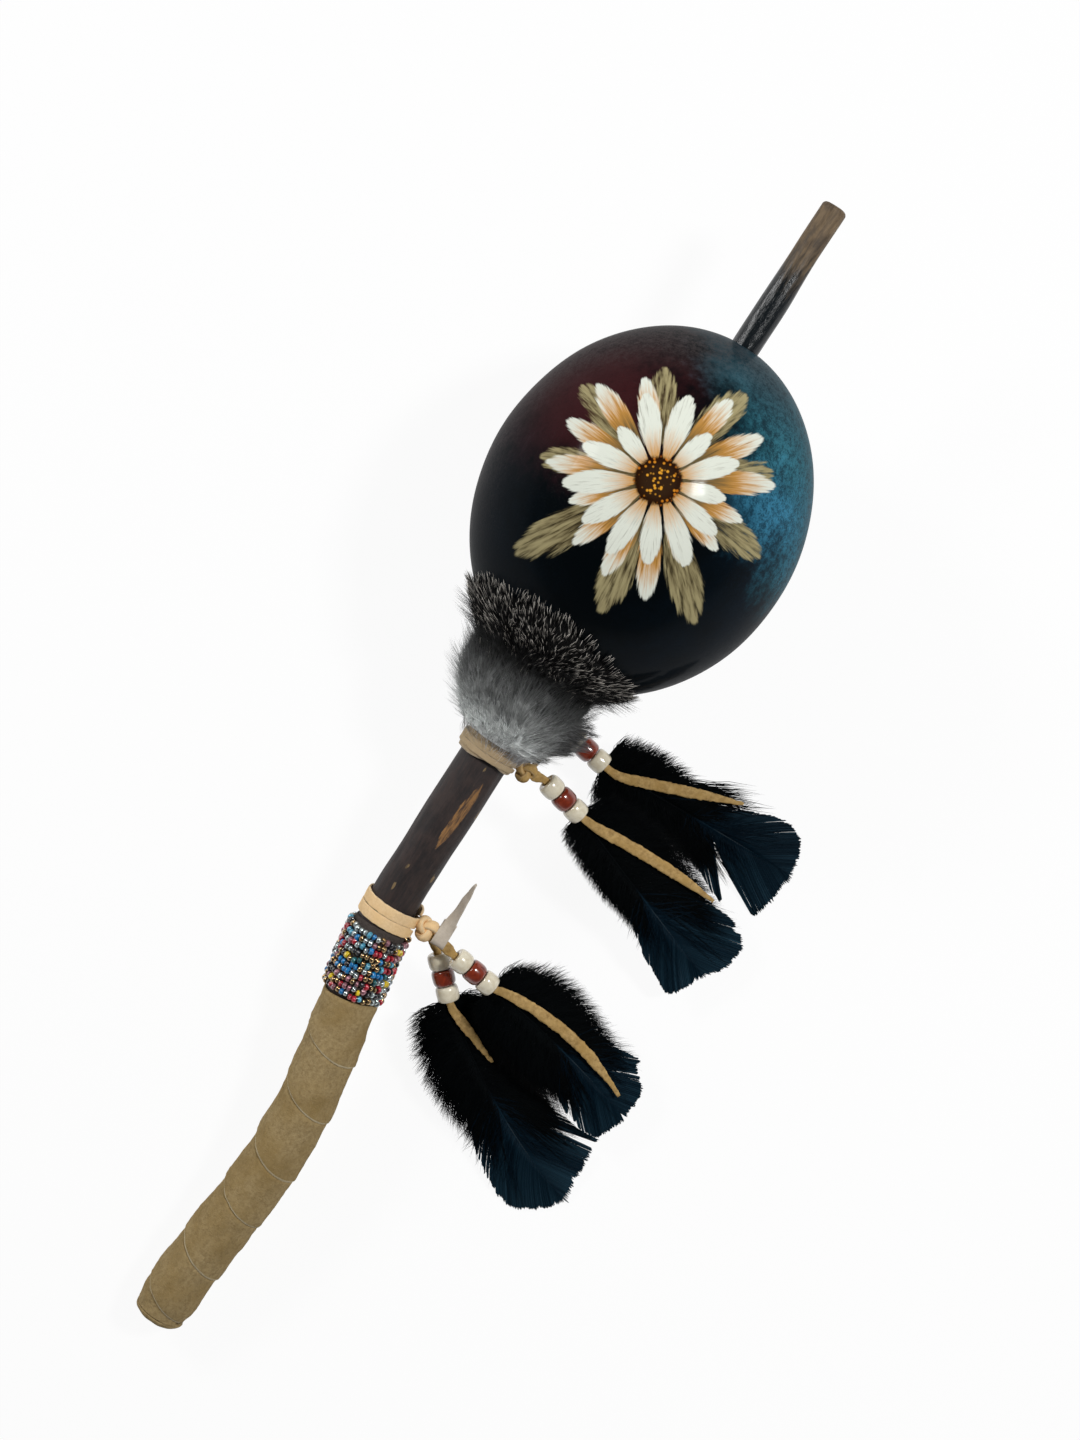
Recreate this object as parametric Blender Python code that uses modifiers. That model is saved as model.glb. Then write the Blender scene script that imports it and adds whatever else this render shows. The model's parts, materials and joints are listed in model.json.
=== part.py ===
"""Gourd rattle lying on a table: a hollow gourd on a stick, with loose pellets inside it,
a fur collar, a beaded and suede wrapped handle, and four laced drops of beads and feathers.

Frame: +X runs along the stick towards its thin tip, +Z is up, and the drops lie towards -Y.
The gourd and the butt of the handle rest on Z = 0. Units are metres.
"""
import math
from dataclasses import dataclass

import bmesh
import bpy
import numpy as np
from mathutils import Matrix, Vector

# Clearance that pieces which touch keep between their meshes
GAP = 0.0003

# Gourd, measured from its widest section
GOURD_RADIUS = 0.0605
GOURD_TOP_LENGTH = 0.0715
GOURD_BASE_LENGTH = 0.0700
GOURD_WALL = 0.0040
NECK_RADIUS = 0.0170
NECK_END = 0.0830
NECK_BLEND = 6.0
SHOULDER_DEG = 72.0
GOURD_FACETS = 24
GOURD_OUTER_STEPS = 9
GOURD_INNER_STEPS = 8

# Stick, distances from the gourd's widest section to the tip and to the butt
STICK_TIP = 0.1309
STICK_BUTT = 0.3600
STICK_TIP_RADIUS = 0.0049
STICK_TOP_RADIUS = 0.0052
STICK_HANDLE_RADIUS = 0.0097
STICK_SIDES_RESOLUTION = 6
STICK_BENDS = 18

# Crook of the handle, which bends level with the table towards the drops
CROOK_START = 0.1618
CROOK_CREST = 0.2793
CROOK_DEPTH = 0.0146
CROOK_END_OFFSET = 0.0095

# Putty ring in the top hole, and the plug between the neck and the stick
TOP_SEAL_WALL = 0.0012
NECK_SEAL_LENGTH = 0.0080
SEAL_SIDES = 20

# Pellets inside the gourd
PELLET_RADIUS = 0.0042
PELLET_SQUASH = 0.82
PELLET_LATITUDES_DEG = (-27.0, -16.0, -5.0, 6.0, 17.0, 28.0)

# Fur collar: a hide sleeve from the gourd's shoulder to the stick, with its hair
COLLAR_TOP = 0.0500
COLLAR_BOTTOM = 0.0995
HEM_LENGTH = 0.0090
HIDE_THICKNESS = 0.0009
FUR_DEPTH = 0.0110
FUR_TOP_SHARE = 0.33
FUR_RISE = 1.5
COLLAR_STEPS = 10
COLLAR_SIDES = 24

# Lace windings round the hem and round the handle
COLLAR_TIE_RADIUS = 0.0008
COLLAR_TIE_PITCH = 0.0024
GRIP_TIE_AT = 0.1765
GRIP_TIE_RADIUS = 0.0015
GRIP_TIE_PITCH = 0.0045
TIE_TURNS = 2
KNOT_RADIUS = 0.0026
KNOT_HEIGHT = 0.0024

# Bead band: a hide backing with one strand of seed beads wound round it
BACKING_THICKNESS = 0.0008
BACKING_MARGIN = 0.0005
BACKING_STEPS = 8
SEED_BEAD_RADIUS = 0.00105
BEAD_STRAND_PITCH = 0.00265
BEAD_STRAND_TURNS = 10

# Suede strip wound down the handle, and the disc that closes its end
GRIP_TURNS = 6
STRIP_THIN = 0.0010
STRIP_THICK = 0.0019
STRIP_GAP = 0.0006
STRIP_LEAST_WIDTH = 0.0020
STRIP_SPANS = 2
END_CAP_HEIGHT = 0.0040
END_CAP_ARC_STEPS = 6
END_CAP_SIDES = 20

# Drops: pony beads on a lace, with a feather under the lace's tail
LACE_RADIUS = 0.0014
LACE_END_RADIUS = 0.0003
LACE_TAPER = 0.0018
PONY_BEAD_RADIUS = 0.0045
PONY_BEAD_LENGTH = 0.0063
PONY_BORE_CLEARANCE = 0.0004
PONY_BEAD_GAP = 0.0003
PONY_SHOULDER_DEG = 58.0
PONY_ARC_STEPS = 5
PONY_SIDES = 12
FEATHER_THICKNESS = 0.0012
QUILL_WIDTH = 0.0022
TAIL_TIP_RADIUS = 0.0005
TAIL_TURN_SHARE = 0.4
TAIL_STEPS = 8

# Feather outline, as shares of the feather's own length and width
VANE_START_SHARE = 0.08
VANE_FULL_SHARE = 0.45
VANE_BLUNT_SHARE = 0.86
FEATHER_END_SHARE = 0.55
VANE_STEPS = 6

# Bare tag, a strip folded over the neck of one drop
TAG_WIDTH = 0.0056
TAG_THICKNESS = 0.0006
TAG_LONG_ARM = 0.0290
TAG_SHORT_ARM = 0.0080
TAG_RISE = 0.0100
TAG_FROM_KNOT = 0.0070
TAG_POINT_SHARE = 0.15
TAG_FOLD_STEPS = 6
TAG_ARM_STEPS = 5

# Points in each loop of a winding, and in each bend of a smooth route
LOOP_POINTS = 24
ROUTE_STEPS = 4


@dataclass(frozen=True)
class Drop:
    """One laced drop. Azimuths are degrees from -Y towards +X; route points run from the knot."""

    name: str
    knot: str
    route: tuple
    azimuth: float
    tip_height: float
    feather_yaw: float
    feather_length: float
    feather_half_width: float
    tail_yaw: float
    tail_length: float
    tail_bow: float


COLLAR_DROPS = (
    Drop(
        "collar_low", "collar",
        ((0.0006, -0.0012, -0.0031), (0.0031, -0.0018, -0.0126), (0.0080, -0.0022, -0.0215),
         (0.0150, -0.0012, -0.0262), (0.0196, -0.0018, -0.0272), (0.0210, -0.0052, -0.0276)),
        azimuth=-10.0, tip_height=0.0036, feather_yaw=13.0, feather_length=0.0880,
        feather_half_width=0.0172, tail_yaw=27.0, tail_length=0.0570, tail_bow=0.0,
    ),
    Drop(
        "collar_high", "collar",
        ((0.0003, -0.0032, -0.0008), (0.0006, -0.0055, -0.0017), (0.0010, -0.0079, -0.0026)),
        azimuth=-12.5, tip_height=0.0130, feather_yaw=-8.0, feather_length=0.0840,
        feather_half_width=0.0168, tail_yaw=11.5, tail_length=0.0640, tail_bow=0.0015,
    ),
)
GRIP_DROPS = (
    Drop(
        "grip_low", "grip",
        ((-0.0008, -0.0016, -0.0030), (-0.0022, -0.0036, -0.0080), (-0.0038, -0.0055, -0.0103),
         (-0.0060, -0.0080, -0.0112)),
        azimuth=-44.0, tip_height=0.0036, feather_yaw=5.5, feather_length=0.0940,
        feather_half_width=0.0176, tail_yaw=20.0, tail_length=0.0300, tail_bow=0.0,
    ),
    Drop(
        "grip_high", "grip",
        ((-0.0005, -0.0032, 0.0), (-0.0014, -0.0075, 0.0003), (-0.0029, -0.0140, -0.0008)),
        azimuth=-8.5, tip_height=0.0130, feather_yaw=-1.0, feather_length=0.0740,
        feather_half_width=0.0160, tail_yaw=-1.0, tail_length=0.0670, tail_bow=0.0050,
    ),
)
TAGGED_DROP = "grip_high"

# Sizes that follow from the ones above
TOP_HOLE_RADIUS = STICK_TOP_RADIUS + TOP_SEAL_WALL + 2 * GAP
HEM_RADIUS = STICK_HANDLE_RADIUS + GAP + HIDE_THICKNESS
COLLAR_TIE_AT = COLLAR_BOTTOM + HEM_LENGTH / 2
COLLAR_TIE_CENTRE = HEM_RADIUS + GAP + COLLAR_TIE_RADIUS
GRIP_TIE_CENTRE = STICK_HANDLE_RADIUS + GAP + GRIP_TIE_RADIUS
GRIP_TIE_END = GRIP_TIE_AT + TIE_TURNS * GRIP_TIE_PITCH / 2 + GRIP_TIE_RADIUS
BACKING_START = GRIP_TIE_END + GAP
BACKING_RADIUS = STICK_HANDLE_RADIUS + GAP + BACKING_THICKNESS
BEADS_START = BACKING_START + BACKING_MARGIN + SEED_BEAD_RADIUS
BEADS_END = BEADS_START + BEAD_STRAND_TURNS * BEAD_STRAND_PITCH
BEADS_CENTRE = BACKING_RADIUS + GAP + SEED_BEAD_RADIUS
BACKING_END = BEADS_END + SEED_BEAD_RADIUS + BACKING_MARGIN
GRIP_START = BACKING_END + GAP
GRIP_BORE = STICK_HANDLE_RADIUS + GAP
GRIP_RADIUS = GRIP_BORE + STRIP_THICK
PONY_BORE = LACE_RADIUS + PONY_BORE_CLEARANCE
PONY_PITCH = PONY_BEAD_LENGTH + PONY_BEAD_GAP
PONY_COUNT = 3
BEAD_ROW_START = LACE_TAPER / 2
BEAD_ROW_END = BEAD_ROW_START + PONY_COUNT * PONY_PITCH
LACE_HALF_GAP = GAP * 0.7


def start_scene():
    """Empty the scene and return the collection for the parts."""
    for old in list(bpy.data.objects):
        bpy.data.objects.remove(old, do_unlink=True)
    parts = bpy.data.collections.new("gourd_rattle")
    bpy.context.scene.collection.children.link(parts)
    return parts


def finish(name, colour, roughness):
    """A Principled material with a plain colour."""
    material = bpy.data.materials.new(name)
    material.use_nodes = True
    shader = material.node_tree.nodes["Principled BSDF"]
    shader.inputs["Base Color"].default_value = (*colour, 1.0)
    shader.inputs["Roughness"].default_value = roughness
    return material


def place(name, data, parent, material):
    """Put a mesh or a curve in the parts' collection under its parent."""
    item = bpy.data.objects.new(name, data)
    PARTS.objects.link(item)
    item.parent = parent
    data.materials.append(material)
    return item


def empty(name, parent, matrix):
    """A parent empty at a place in its own parent's frame."""
    item = bpy.data.objects.new(name, None)
    item.empty_display_size = 0.01
    PARTS.objects.link(item)
    item.parent = parent
    item.matrix_basis = matrix
    return item


def turned(name, profile, steps, parent, material, matrix, closed=True):
    """Turn a profile of (height, radius) points round local Z with a Screw modifier."""
    mesh = bpy.data.meshes.new(name)
    points = [(radius, 0.0, height) for height, radius in profile]
    edges = [(i, i + 1) for i in range(len(points) - 1)]
    if closed:
        edges.append((len(points) - 1, 0))
    mesh.from_pydata(points, edges, [])
    item = place(name, mesh, parent, material)
    item.matrix_basis = matrix
    screw = item.modifiers.new("turn", "SCREW")
    screw.axis = "Z"
    screw.steps = steps
    screw.render_steps = steps
    screw.use_merge_vertices = True
    screw.merge_threshold = 0.00001
    screw.use_smooth_shade = True
    return item


def tube(name, points, radii, resolution, parent, material, capped=True):
    """A round tube along a line of points, with a radius at each point."""
    curve = bpy.data.curves.new(name, "CURVE")
    curve.dimensions = "3D"
    curve.bevel_depth = 1.0
    curve.bevel_resolution = resolution
    curve.use_fill_caps = capped
    spline = curve.splines.new("POLY")
    spline.points.add(len(points) - 1)
    for spot, point, radius in zip(spline.points, points, radii):
        spot.co = (*point, 1.0)
        spot.radius = radius
    return place(name, curve, parent, material)


def smooth_route(points):
    """Points on a Catmull-Rom curve through a route's own points."""
    route = [Vector(point) for point in points]
    ends = [2 * route[0] - route[1], *route, 2 * route[-1] - route[-2]]
    line = []
    for a, b, c, d in zip(ends, ends[1:], ends[2:], ends[3:]):
        for step in range(ROUTE_STEPS):
            t = step / ROUTE_STEPS
            line.append(0.5 * (2 * b + (c - a) * t + (2 * a - 5 * b + 4 * c - d) * t ** 2
                               + (3 * b - a - 3 * c + d) * t ** 3))
    line.append(route[-1])
    return line


def tapered_radii(line, end_radius):
    """Lace radii that run to a fine end at the start of a line and to end_radius at its end."""
    steps = [0.0]
    for a, b in zip(line, line[1:]):
        steps.append(steps[-1] + (b - a).length)
    radii = []
    for step in steps:
        first = min(1.0, step / LACE_TAPER)
        last = min(1.0, (steps[-1] - step) / LACE_TAPER)
        start_radius = LACE_END_RADIUS + (LACE_RADIUS - LACE_END_RADIUS) * first
        radii.append(min(start_radius, end_radius + (LACE_RADIUS - end_radius) * last))
    return radii


def gourd_radius(along, inset):
    """Radius of the gourd at a distance along its axis, inset from its outer skin."""
    half = (GOURD_TOP_LENGTH if along > 0 else GOURD_BASE_LENGTH) - inset
    swell = max(0.0, 1 - (along / half) ** 2)
    body = (GOURD_RADIUS - inset) * math.sqrt(swell)
    if along > 0:
        return body
    return (body ** NECK_BLEND + (NECK_RADIUS - inset) ** NECK_BLEND) ** (1 / NECK_BLEND)


def gourd_profile(inset, steps):
    """Points (height, radius) from the top hole to the neck's end, inset from the outer skin."""
    top = GOURD_TOP_LENGTH - inset
    base = GOURD_BASE_LENGTH - inset
    hole = math.asin(TOP_HOLE_RADIUS / (GOURD_RADIUS - inset))
    heights = [top * math.cos(hole + (math.pi / 2 - hole) * i / steps) for i in range(steps + 1)]
    shoulder = math.radians(SHOULDER_DEG)
    heights += [-base * math.sin(shoulder * i / steps) for i in range(1, steps + 1)]
    heights += [-base, -NECK_END]
    points = [(height, gourd_radius(height, inset)) for height in heights]
    points[0] = (points[0][0], TOP_HOLE_RADIUS)
    return points


def crook(along):
    """Sideways offset of the stick's centre line: a smooth rise to the crest, then a fall."""
    down = -along
    if down < CROOK_START:
        return 0.0
    if down < CROOK_CREST:
        share = (down - CROOK_START) / (CROOK_CREST - CROOK_START)
        return -CROOK_DEPTH * math.sin(math.pi / 2 * share) ** 2
    share = (down - CROOK_CREST) / (STICK_BUTT - CROOK_CREST)
    fall = math.cos(math.pi / 2 * min(share, 1.0)) ** 2
    return -CROOK_END_OFFSET - (CROOK_DEPTH - CROOK_END_OFFSET) * fall


def centre_frame(along):
    """Centre of the stick at a distance along its axis, with its direction and its side."""
    step = 0.0001
    slope = (crook(along + step) - crook(along - step)) / (2 * step)
    direction = Vector((1.0, slope, 0.0)).normalized()
    side = Vector((-direction.y, direction.x, 0.0))
    return Vector((along, crook(along), 0.0)), direction, side


def round_point(along, angle, radius):
    """A point round the bent centre line; angle 0 is its left side and 90 degrees its top."""
    centre, _, side = centre_frame(along)
    return centre + radius * (math.cos(angle) * side + math.sin(angle) * Vector((0, 0, 1)))


def rest_tilt(butt_radius):
    """Tilt at which the gourd and the butt both touch the table."""
    tilt = 0.0
    for _ in range(12):
        gourd = math.hypot(GOURD_RADIUS * math.cos(tilt), GOURD_BASE_LENGTH * math.sin(tilt))
        tilt = math.asin((gourd - butt_radius * math.cos(tilt)) / STICK_BUTT)
    return tilt, gourd


def print_least_gap(name, points, thickness, loop_points):
    """Print the least gap between one loop of a winding and the loops beside it."""
    line = np.array([tuple(point) for point in points])
    apart = np.linalg.norm(line[:, None] - line[None], axis=2)
    order = np.arange(len(line))
    others = np.abs(order[:, None] - order[None]) > loop_points // 2
    print(f"{name}: least gap to itself {1000 * (apart[others].min() - thickness):.2f} mm")


def winding(name, start, turns, pitch, centre_radius, tube_radius, parent, material):
    """One unbroken tube wound round the stick, from the drops' side round to it again."""
    count = turns * LOOP_POINTS
    points = []
    for i in range(count + 1):
        along = -(start + pitch * i / LOOP_POINTS)
        points.append(round_point(along, math.pi + 2 * math.pi * i / LOOP_POINTS, centre_radius))
    print_least_gap(name, points, 2 * tube_radius, LOOP_POINTS)
    return tube(name, points, [tube_radius] * len(points), 1, parent, material)


def build_gourd(axis):
    """Hollow shell, putty ring in the top hole and plug in the neck."""
    outer = gourd_profile(0.0, GOURD_OUTER_STEPS)
    inner = gourd_profile(GOURD_WALL, GOURD_INNER_STEPS)
    facet_down = Matrix.Rotation(math.pi / GOURD_FACETS, 4, "X") @ ALONG_X
    turned("gourd_shell", outer + inner[::-1], GOURD_FACETS, axis, SKIN, facet_down)

    inside = STICK_TOP_RADIUS + GAP
    outside = TOP_HOLE_RADIUS - GAP
    top, bottom = outer[0][0], inner[0][0]
    ring = [(top, inside), (top, outside), (bottom, outside), (bottom, inside)]
    turned("top_seal", ring, SEAL_SIDES, axis, PUTTY, ALONG_X)

    inside = STICK_HANDLE_RADIUS + GAP
    outside = NECK_RADIUS - GOURD_WALL - GAP
    top, bottom = -NECK_END + NECK_SEAL_LENGTH, -NECK_END
    plug = [(top, inside), (top, outside), (bottom, outside), (bottom, inside)]
    turned("neck_plug", plug, SEAL_SIDES, axis, CORK, ALONG_X)


def build_pellets(axis):
    """Loose pellets, each resting on the lowest line of the gourd's inner wall."""
    flat = math.cos(math.pi / GOURD_FACETS)
    radius = GOURD_RADIUS - GOURD_WALL
    for number, latitude in enumerate(PELLET_LATITUDES_DEG, start=1):
        turn = math.radians(latitude)
        length = (GOURD_TOP_LENGTH if turn > 0 else GOURD_BASE_LENGTH) - GOURD_WALL
        wall = Vector((length * math.sin(turn), 0.0, -radius * math.cos(turn) * flat))
        inward = -Vector((math.sin(turn) / length, 0.0, -math.cos(turn) / radius)).normalized()
        mesh = bpy.data.meshes.new(f"pellet_{number}")
        shape = bmesh.new()
        bmesh.ops.create_uvsphere(shape, u_segments=10, v_segments=6, radius=PELLET_RADIUS)
        bmesh.ops.scale(shape, vec=(1.0, 1.0, PELLET_SQUASH), verts=shape.verts)
        shape.to_mesh(mesh)
        shape.free()
        mesh.shade_smooth()
        pellet = place(f"pellet_{number}", mesh, axis, SEED)
        lift = PELLET_RADIUS * PELLET_SQUASH + 2 * GAP
        tip_up = Vector((0, 0, 1)).rotation_difference(inward).to_matrix().to_4x4()
        pellet.matrix_basis = Matrix.Translation(wall + lift * inward) @ tip_up


def build_stick(axis):
    """One stick from the thin tip, through the gourd, to the crooked handle."""
    stations = [STICK_TIP, (STICK_TIP + GOURD_TOP_LENGTH) / 2, GOURD_TOP_LENGTH - GOURD_WALL]
    radii = [STICK_TIP_RADIUS, (STICK_TIP_RADIUS + STICK_TOP_RADIUS) / 2, STICK_TOP_RADIUS]
    stations += [-GOURD_BASE_LENGTH, -(GOURD_BASE_LENGTH + CROOK_START) / 2]
    crooked = STICK_BUTT - CROOK_START
    stations += [-CROOK_START - crooked * i / STICK_BENDS for i in range(STICK_BENDS + 1)]
    radii += [STICK_HANDLE_RADIUS] * (len(stations) - len(radii))
    points = [centre_frame(along)[0] for along in stations]
    tube("handle_stick", points, radii, STICK_SIDES_RESOLUTION, axis, BARK)


def build_collar(axis):
    """Fur collar: a sleeve over the gourd's shoulder and neck that ends in a thin hem."""
    seat = STICK_HANDLE_RADIUS + GAP
    cone_top = NECK_END + GAP
    inner = []
    outer = []
    for i in range(COLLAR_STEPS + 1):
        share = i / COLLAR_STEPS
        down = COLLAR_TOP + (COLLAR_BOTTOM - COLLAR_TOP) * share
        under = gourd_radius(-min(down, NECK_END), 0.0) + 2 * GAP
        if down > cone_top:
            drop = (down - cone_top) / (COLLAR_BOTTOM - cone_top)
            under += (seat - under) * drop
        hair = FUR_DEPTH * min(1.0, FUR_TOP_SHARE + FUR_RISE * share)
        inner.append((-down, under))
        outer.append((-down, under + HIDE_THICKNESS + hair))
    hem_end = -COLLAR_BOTTOM - HEM_LENGTH
    hem = [(-COLLAR_BOTTOM, HEM_RADIUS), (hem_end, HEM_RADIUS), (hem_end, seat)]
    turned("fur_collar", outer + hem + inner[::-1], COLLAR_SIDES, axis, FUR, ALONG_X)


def build_ties(axis):
    """The two lace windings, and a knot of each on the drops' side. Returns the knots' places."""
    knots = {}
    for name, at, pitch, centre, radius in (
        ("collar", COLLAR_TIE_AT, COLLAR_TIE_PITCH, COLLAR_TIE_CENTRE, COLLAR_TIE_RADIUS),
        ("grip", GRIP_TIE_AT, GRIP_TIE_PITCH, GRIP_TIE_CENTRE, GRIP_TIE_RADIUS),
    ):
        start = at - TIE_TURNS * pitch / 2
        winding(f"{name}_tie", start, TIE_TURNS, pitch, centre, radius, axis, LACE)
        reach = centre + radius + GAP + KNOT_RADIUS
        knots[name] = axis.matrix_basis @ round_point(-at, math.pi, reach)
        mesh = bpy.data.meshes.new(f"{name}_knot")
        shape = bmesh.new()
        bmesh.ops.create_uvsphere(shape, u_segments=12, v_segments=8, radius=KNOT_RADIUS)
        bmesh.ops.scale(shape, vec=(1.0, 1.0, KNOT_HEIGHT / KNOT_RADIUS), verts=shape.verts)
        shape.to_mesh(mesh)
        shape.free()
        mesh.shade_smooth()
        knot = place(f"{name}_knot", mesh, axis.parent, LACE)
        knot.location = knots[name]
    return knots


def build_bead_band(axis):
    """Hide backing round the stick, with one strand of seed beads wound over it."""
    points = []
    for i in range(BACKING_STEPS + 1):
        along = -(BACKING_START + (BACKING_END - BACKING_START) * i / BACKING_STEPS)
        points.append(centre_frame(along)[0])
    radii = [BACKING_RADIUS] * len(points)
    backing = tube("bead_backing", points, radii, STICK_SIDES_RESOLUTION, axis, HIDE, False)
    wall = backing.modifiers.new("wall", "SOLIDIFY")
    wall.thickness = BACKING_THICKNESS
    wall.offset = -1.0
    winding("bead_strand", BEADS_START, BEAD_STRAND_TURNS, BEAD_STRAND_PITCH, BEADS_CENTRE,
            SEED_BEAD_RADIUS, axis, GLASS)


def build_grip(axis):
    """Suede strip wound down the handle, thick at its lower edge, and a disc over the butt."""
    pitch = (STICK_BUTT - GRIP_START) / GRIP_TURNS
    width = pitch - STRIP_GAP
    shape = bmesh.new()
    rings = []
    for i in range((GRIP_TURNS + 1) * LOOP_POINTS + 1):
        angle = 2 * math.pi * i / LOOP_POINTS
        low = min(GRIP_START + pitch * i / LOOP_POINTS, STICK_BUTT)
        high = max(GRIP_START + pitch * i / LOOP_POINTS - width, GRIP_START)
        if low - high < STRIP_LEAST_WIDTH:
            continue
        shares = [j / STRIP_SPANS for j in range(STRIP_SPANS + 1)]
        under = [(high + (low - high) * share, GRIP_BORE) for share in shares]
        over = [(at, GRIP_BORE + STRIP_THIN + (STRIP_THICK - STRIP_THIN) * share)
                for (at, _), share in zip(under, shares)]
        section = over + under[::-1]
        rings.append([shape.verts.new(round_point(-at, angle, reach)) for at, reach in section])
    for ring, after in zip(rings, rings[1:]):
        for j in range(len(ring)):
            shape.faces.new((ring[j], ring[j - 1], after[j - 1], after[j]))
    shape.faces.new(rings[0])
    shape.faces.new(rings[-1][::-1])
    bmesh.ops.recalc_face_normals(shape, faces=shape.faces)
    mesh = bpy.data.meshes.new("grip_wrap")
    shape.to_mesh(mesh)
    shape.free()
    place("grip_wrap", mesh, axis, SUEDE)
    print(f"grip_wrap: least gap to itself {1000 * (pitch - width):.2f} mm")

    centre, direction, _ = centre_frame(-STICK_BUTT)
    outwards = Vector((0, 0, 1)).rotation_difference(-direction).to_matrix().to_4x4()
    turns = [math.pi / 2 * i / END_CAP_ARC_STEPS for i in range(END_CAP_ARC_STEPS + 1)]
    dome = [(GAP + END_CAP_HEIGHT * math.cos(turn), GRIP_RADIUS * math.sin(turn)) for turn in turns]
    turned("grip_end_cap", dome + [(GAP, 0.0)], END_CAP_SIDES, axis, SUEDE,
           Matrix.Translation(centre) @ outwards, closed=False)


def pony_profile():
    """Barrel of a pony bead round its bore, as (height, radius) points."""
    half = PONY_BEAD_LENGTH / 2
    shoulder = math.radians(PONY_SHOULDER_DEG)
    barrel = []
    for i in range(PONY_ARC_STEPS + 1):
        turn = shoulder - 2 * shoulder * i / PONY_ARC_STEPS
        barrel.append((half * math.sin(turn) / math.sin(shoulder), PONY_BEAD_RADIUS * math.cos(turn)))
    bulge = PONY_BEAD_RADIUS * (1 - math.cos(shoulder)) / 2
    barrel = [(height, radius + bulge * (1 - radius / PONY_BEAD_RADIUS)) for height, radius in barrel]
    return [(half, PONY_BORE), *barrel, (-half, PONY_BORE)]


def feather_outline(length, half_width):
    """Outline of a feather: a quill, a vane that widens from it, and a blunt tip."""
    edge = [(0.0, QUILL_WIDTH / 2), (VANE_START_SHARE * length, QUILL_WIDTH / 2)]
    for i in range(1, VANE_STEPS + 1):
        share = i / VANE_STEPS
        along = VANE_START_SHARE + (VANE_FULL_SHARE - VANE_START_SHARE) * share
        widen = math.sqrt(1 - (1 - share) ** 2)
        edge.append((along * length, QUILL_WIDTH / 2 + (half_width - QUILL_WIDTH / 2) * widen))
    edge.append((VANE_BLUNT_SHARE * length, half_width))
    edge.append((length, half_width * FEATHER_END_SHARE))
    return edge + [(along, -side) for along, side in reversed(edge)]


def lace_line(drop):
    """Smooth line of a drop's neck, from the skin of its knot to its hinge."""
    first = Vector(drop.route[0]).normalized()
    skin = 1 / math.hypot(first.xy.length / KNOT_RADIUS, first.z / KNOT_HEIGHT)
    return smooth_route((first * (skin + GAP), *drop.route[1:]))


def build_drop(root, drop, knots):
    """A lace neck from the knot, then beads, the lace's tail and a feather that lift together."""
    knot = empty(f"{drop.name}_swing", root, Matrix.Translation(knots[drop.knot]))
    end = Vector(drop.route[-1])
    hinge_height = knots[drop.knot].z + end.z
    yaw = math.radians(drop.feather_yaw)
    reach = BEAD_ROW_END + drop.feather_length * math.cos(yaw)
    slope = math.asin((hinge_height - drop.tip_height) / reach)
    heading = Matrix.Rotation(math.radians(drop.azimuth - 90), 4, "Z")
    lift = empty(f"{drop.name}_lift", knot,
                 Matrix.Translation(end) @ heading @ Matrix.Rotation(slope, 4, "Y"))

    line = lace_line(drop)
    line[-1] = line[-1] + LACE_HALF_GAP * (line[-2] - line[-1]).normalized()
    tube(f"{drop.name}_lace_neck", line, tapered_radii(line, LACE_END_RADIUS), 2, knot, LACE)

    for number in range(PONY_COUNT):
        middle = BEAD_ROW_START + PONY_PITCH * (number + 0.5)
        turned(f"{drop.name}_bead_{number + 1}", pony_profile(), PONY_SIDES, lift,
               RED_BEAD if number == 1 else CREAM_BEAD,
               Matrix.Translation((middle, 0.0, 0.0)) @ ALONG_X)

    row = [LACE_HALF_GAP, LACE_TAPER, BEAD_ROW_END / 2, BEAD_ROW_END]
    tail = [Vector((along, 0.0, 0.0)) for along in row]
    turn = math.radians(drop.tail_yaw)
    for i in range(1, TAIL_STEPS + 1):
        share = i / TAIL_STEPS
        along = drop.tail_length * share
        side = drop.tail_bow * 4 * share * (1 - share)
        swing = turn * min(1.0, share / TAIL_TURN_SHARE)
        tail.append(Vector((BEAD_ROW_END + along * math.cos(swing) - side * math.sin(swing),
                            along * math.sin(swing) + side * math.cos(swing), 0.0)))
    tube(f"{drop.name}_lace_tail", tail, tapered_radii(tail, TAIL_TIP_RADIUS), 2, lift, LACE)

    outline = feather_outline(drop.feather_length, drop.feather_half_width)
    curve = bpy.data.curves.new(f"{drop.name}_feather", "CURVE")
    curve.dimensions = "2D"
    curve.fill_mode = "BOTH"
    curve.extrude = FEATHER_THICKNESS / 2
    spline = curve.splines.new("POLY")
    spline.points.add(len(outline) - 1)
    for spot, (along, side) in zip(spline.points, outline):
        spot.co = (along, side, 0.0, 1.0)
    spline.use_cyclic_u = True
    feather = place(f"{drop.name}_feather", curve, lift, PLUME)
    under = -(LACE_RADIUS + GAP + FEATHER_THICKNESS / 2)
    feather.matrix_basis = (Matrix.Translation((BEAD_ROW_END + GAP, 0.0, under))
                            @ Matrix.Rotation(yaw, 4, "Z"))
    return knot


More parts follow.
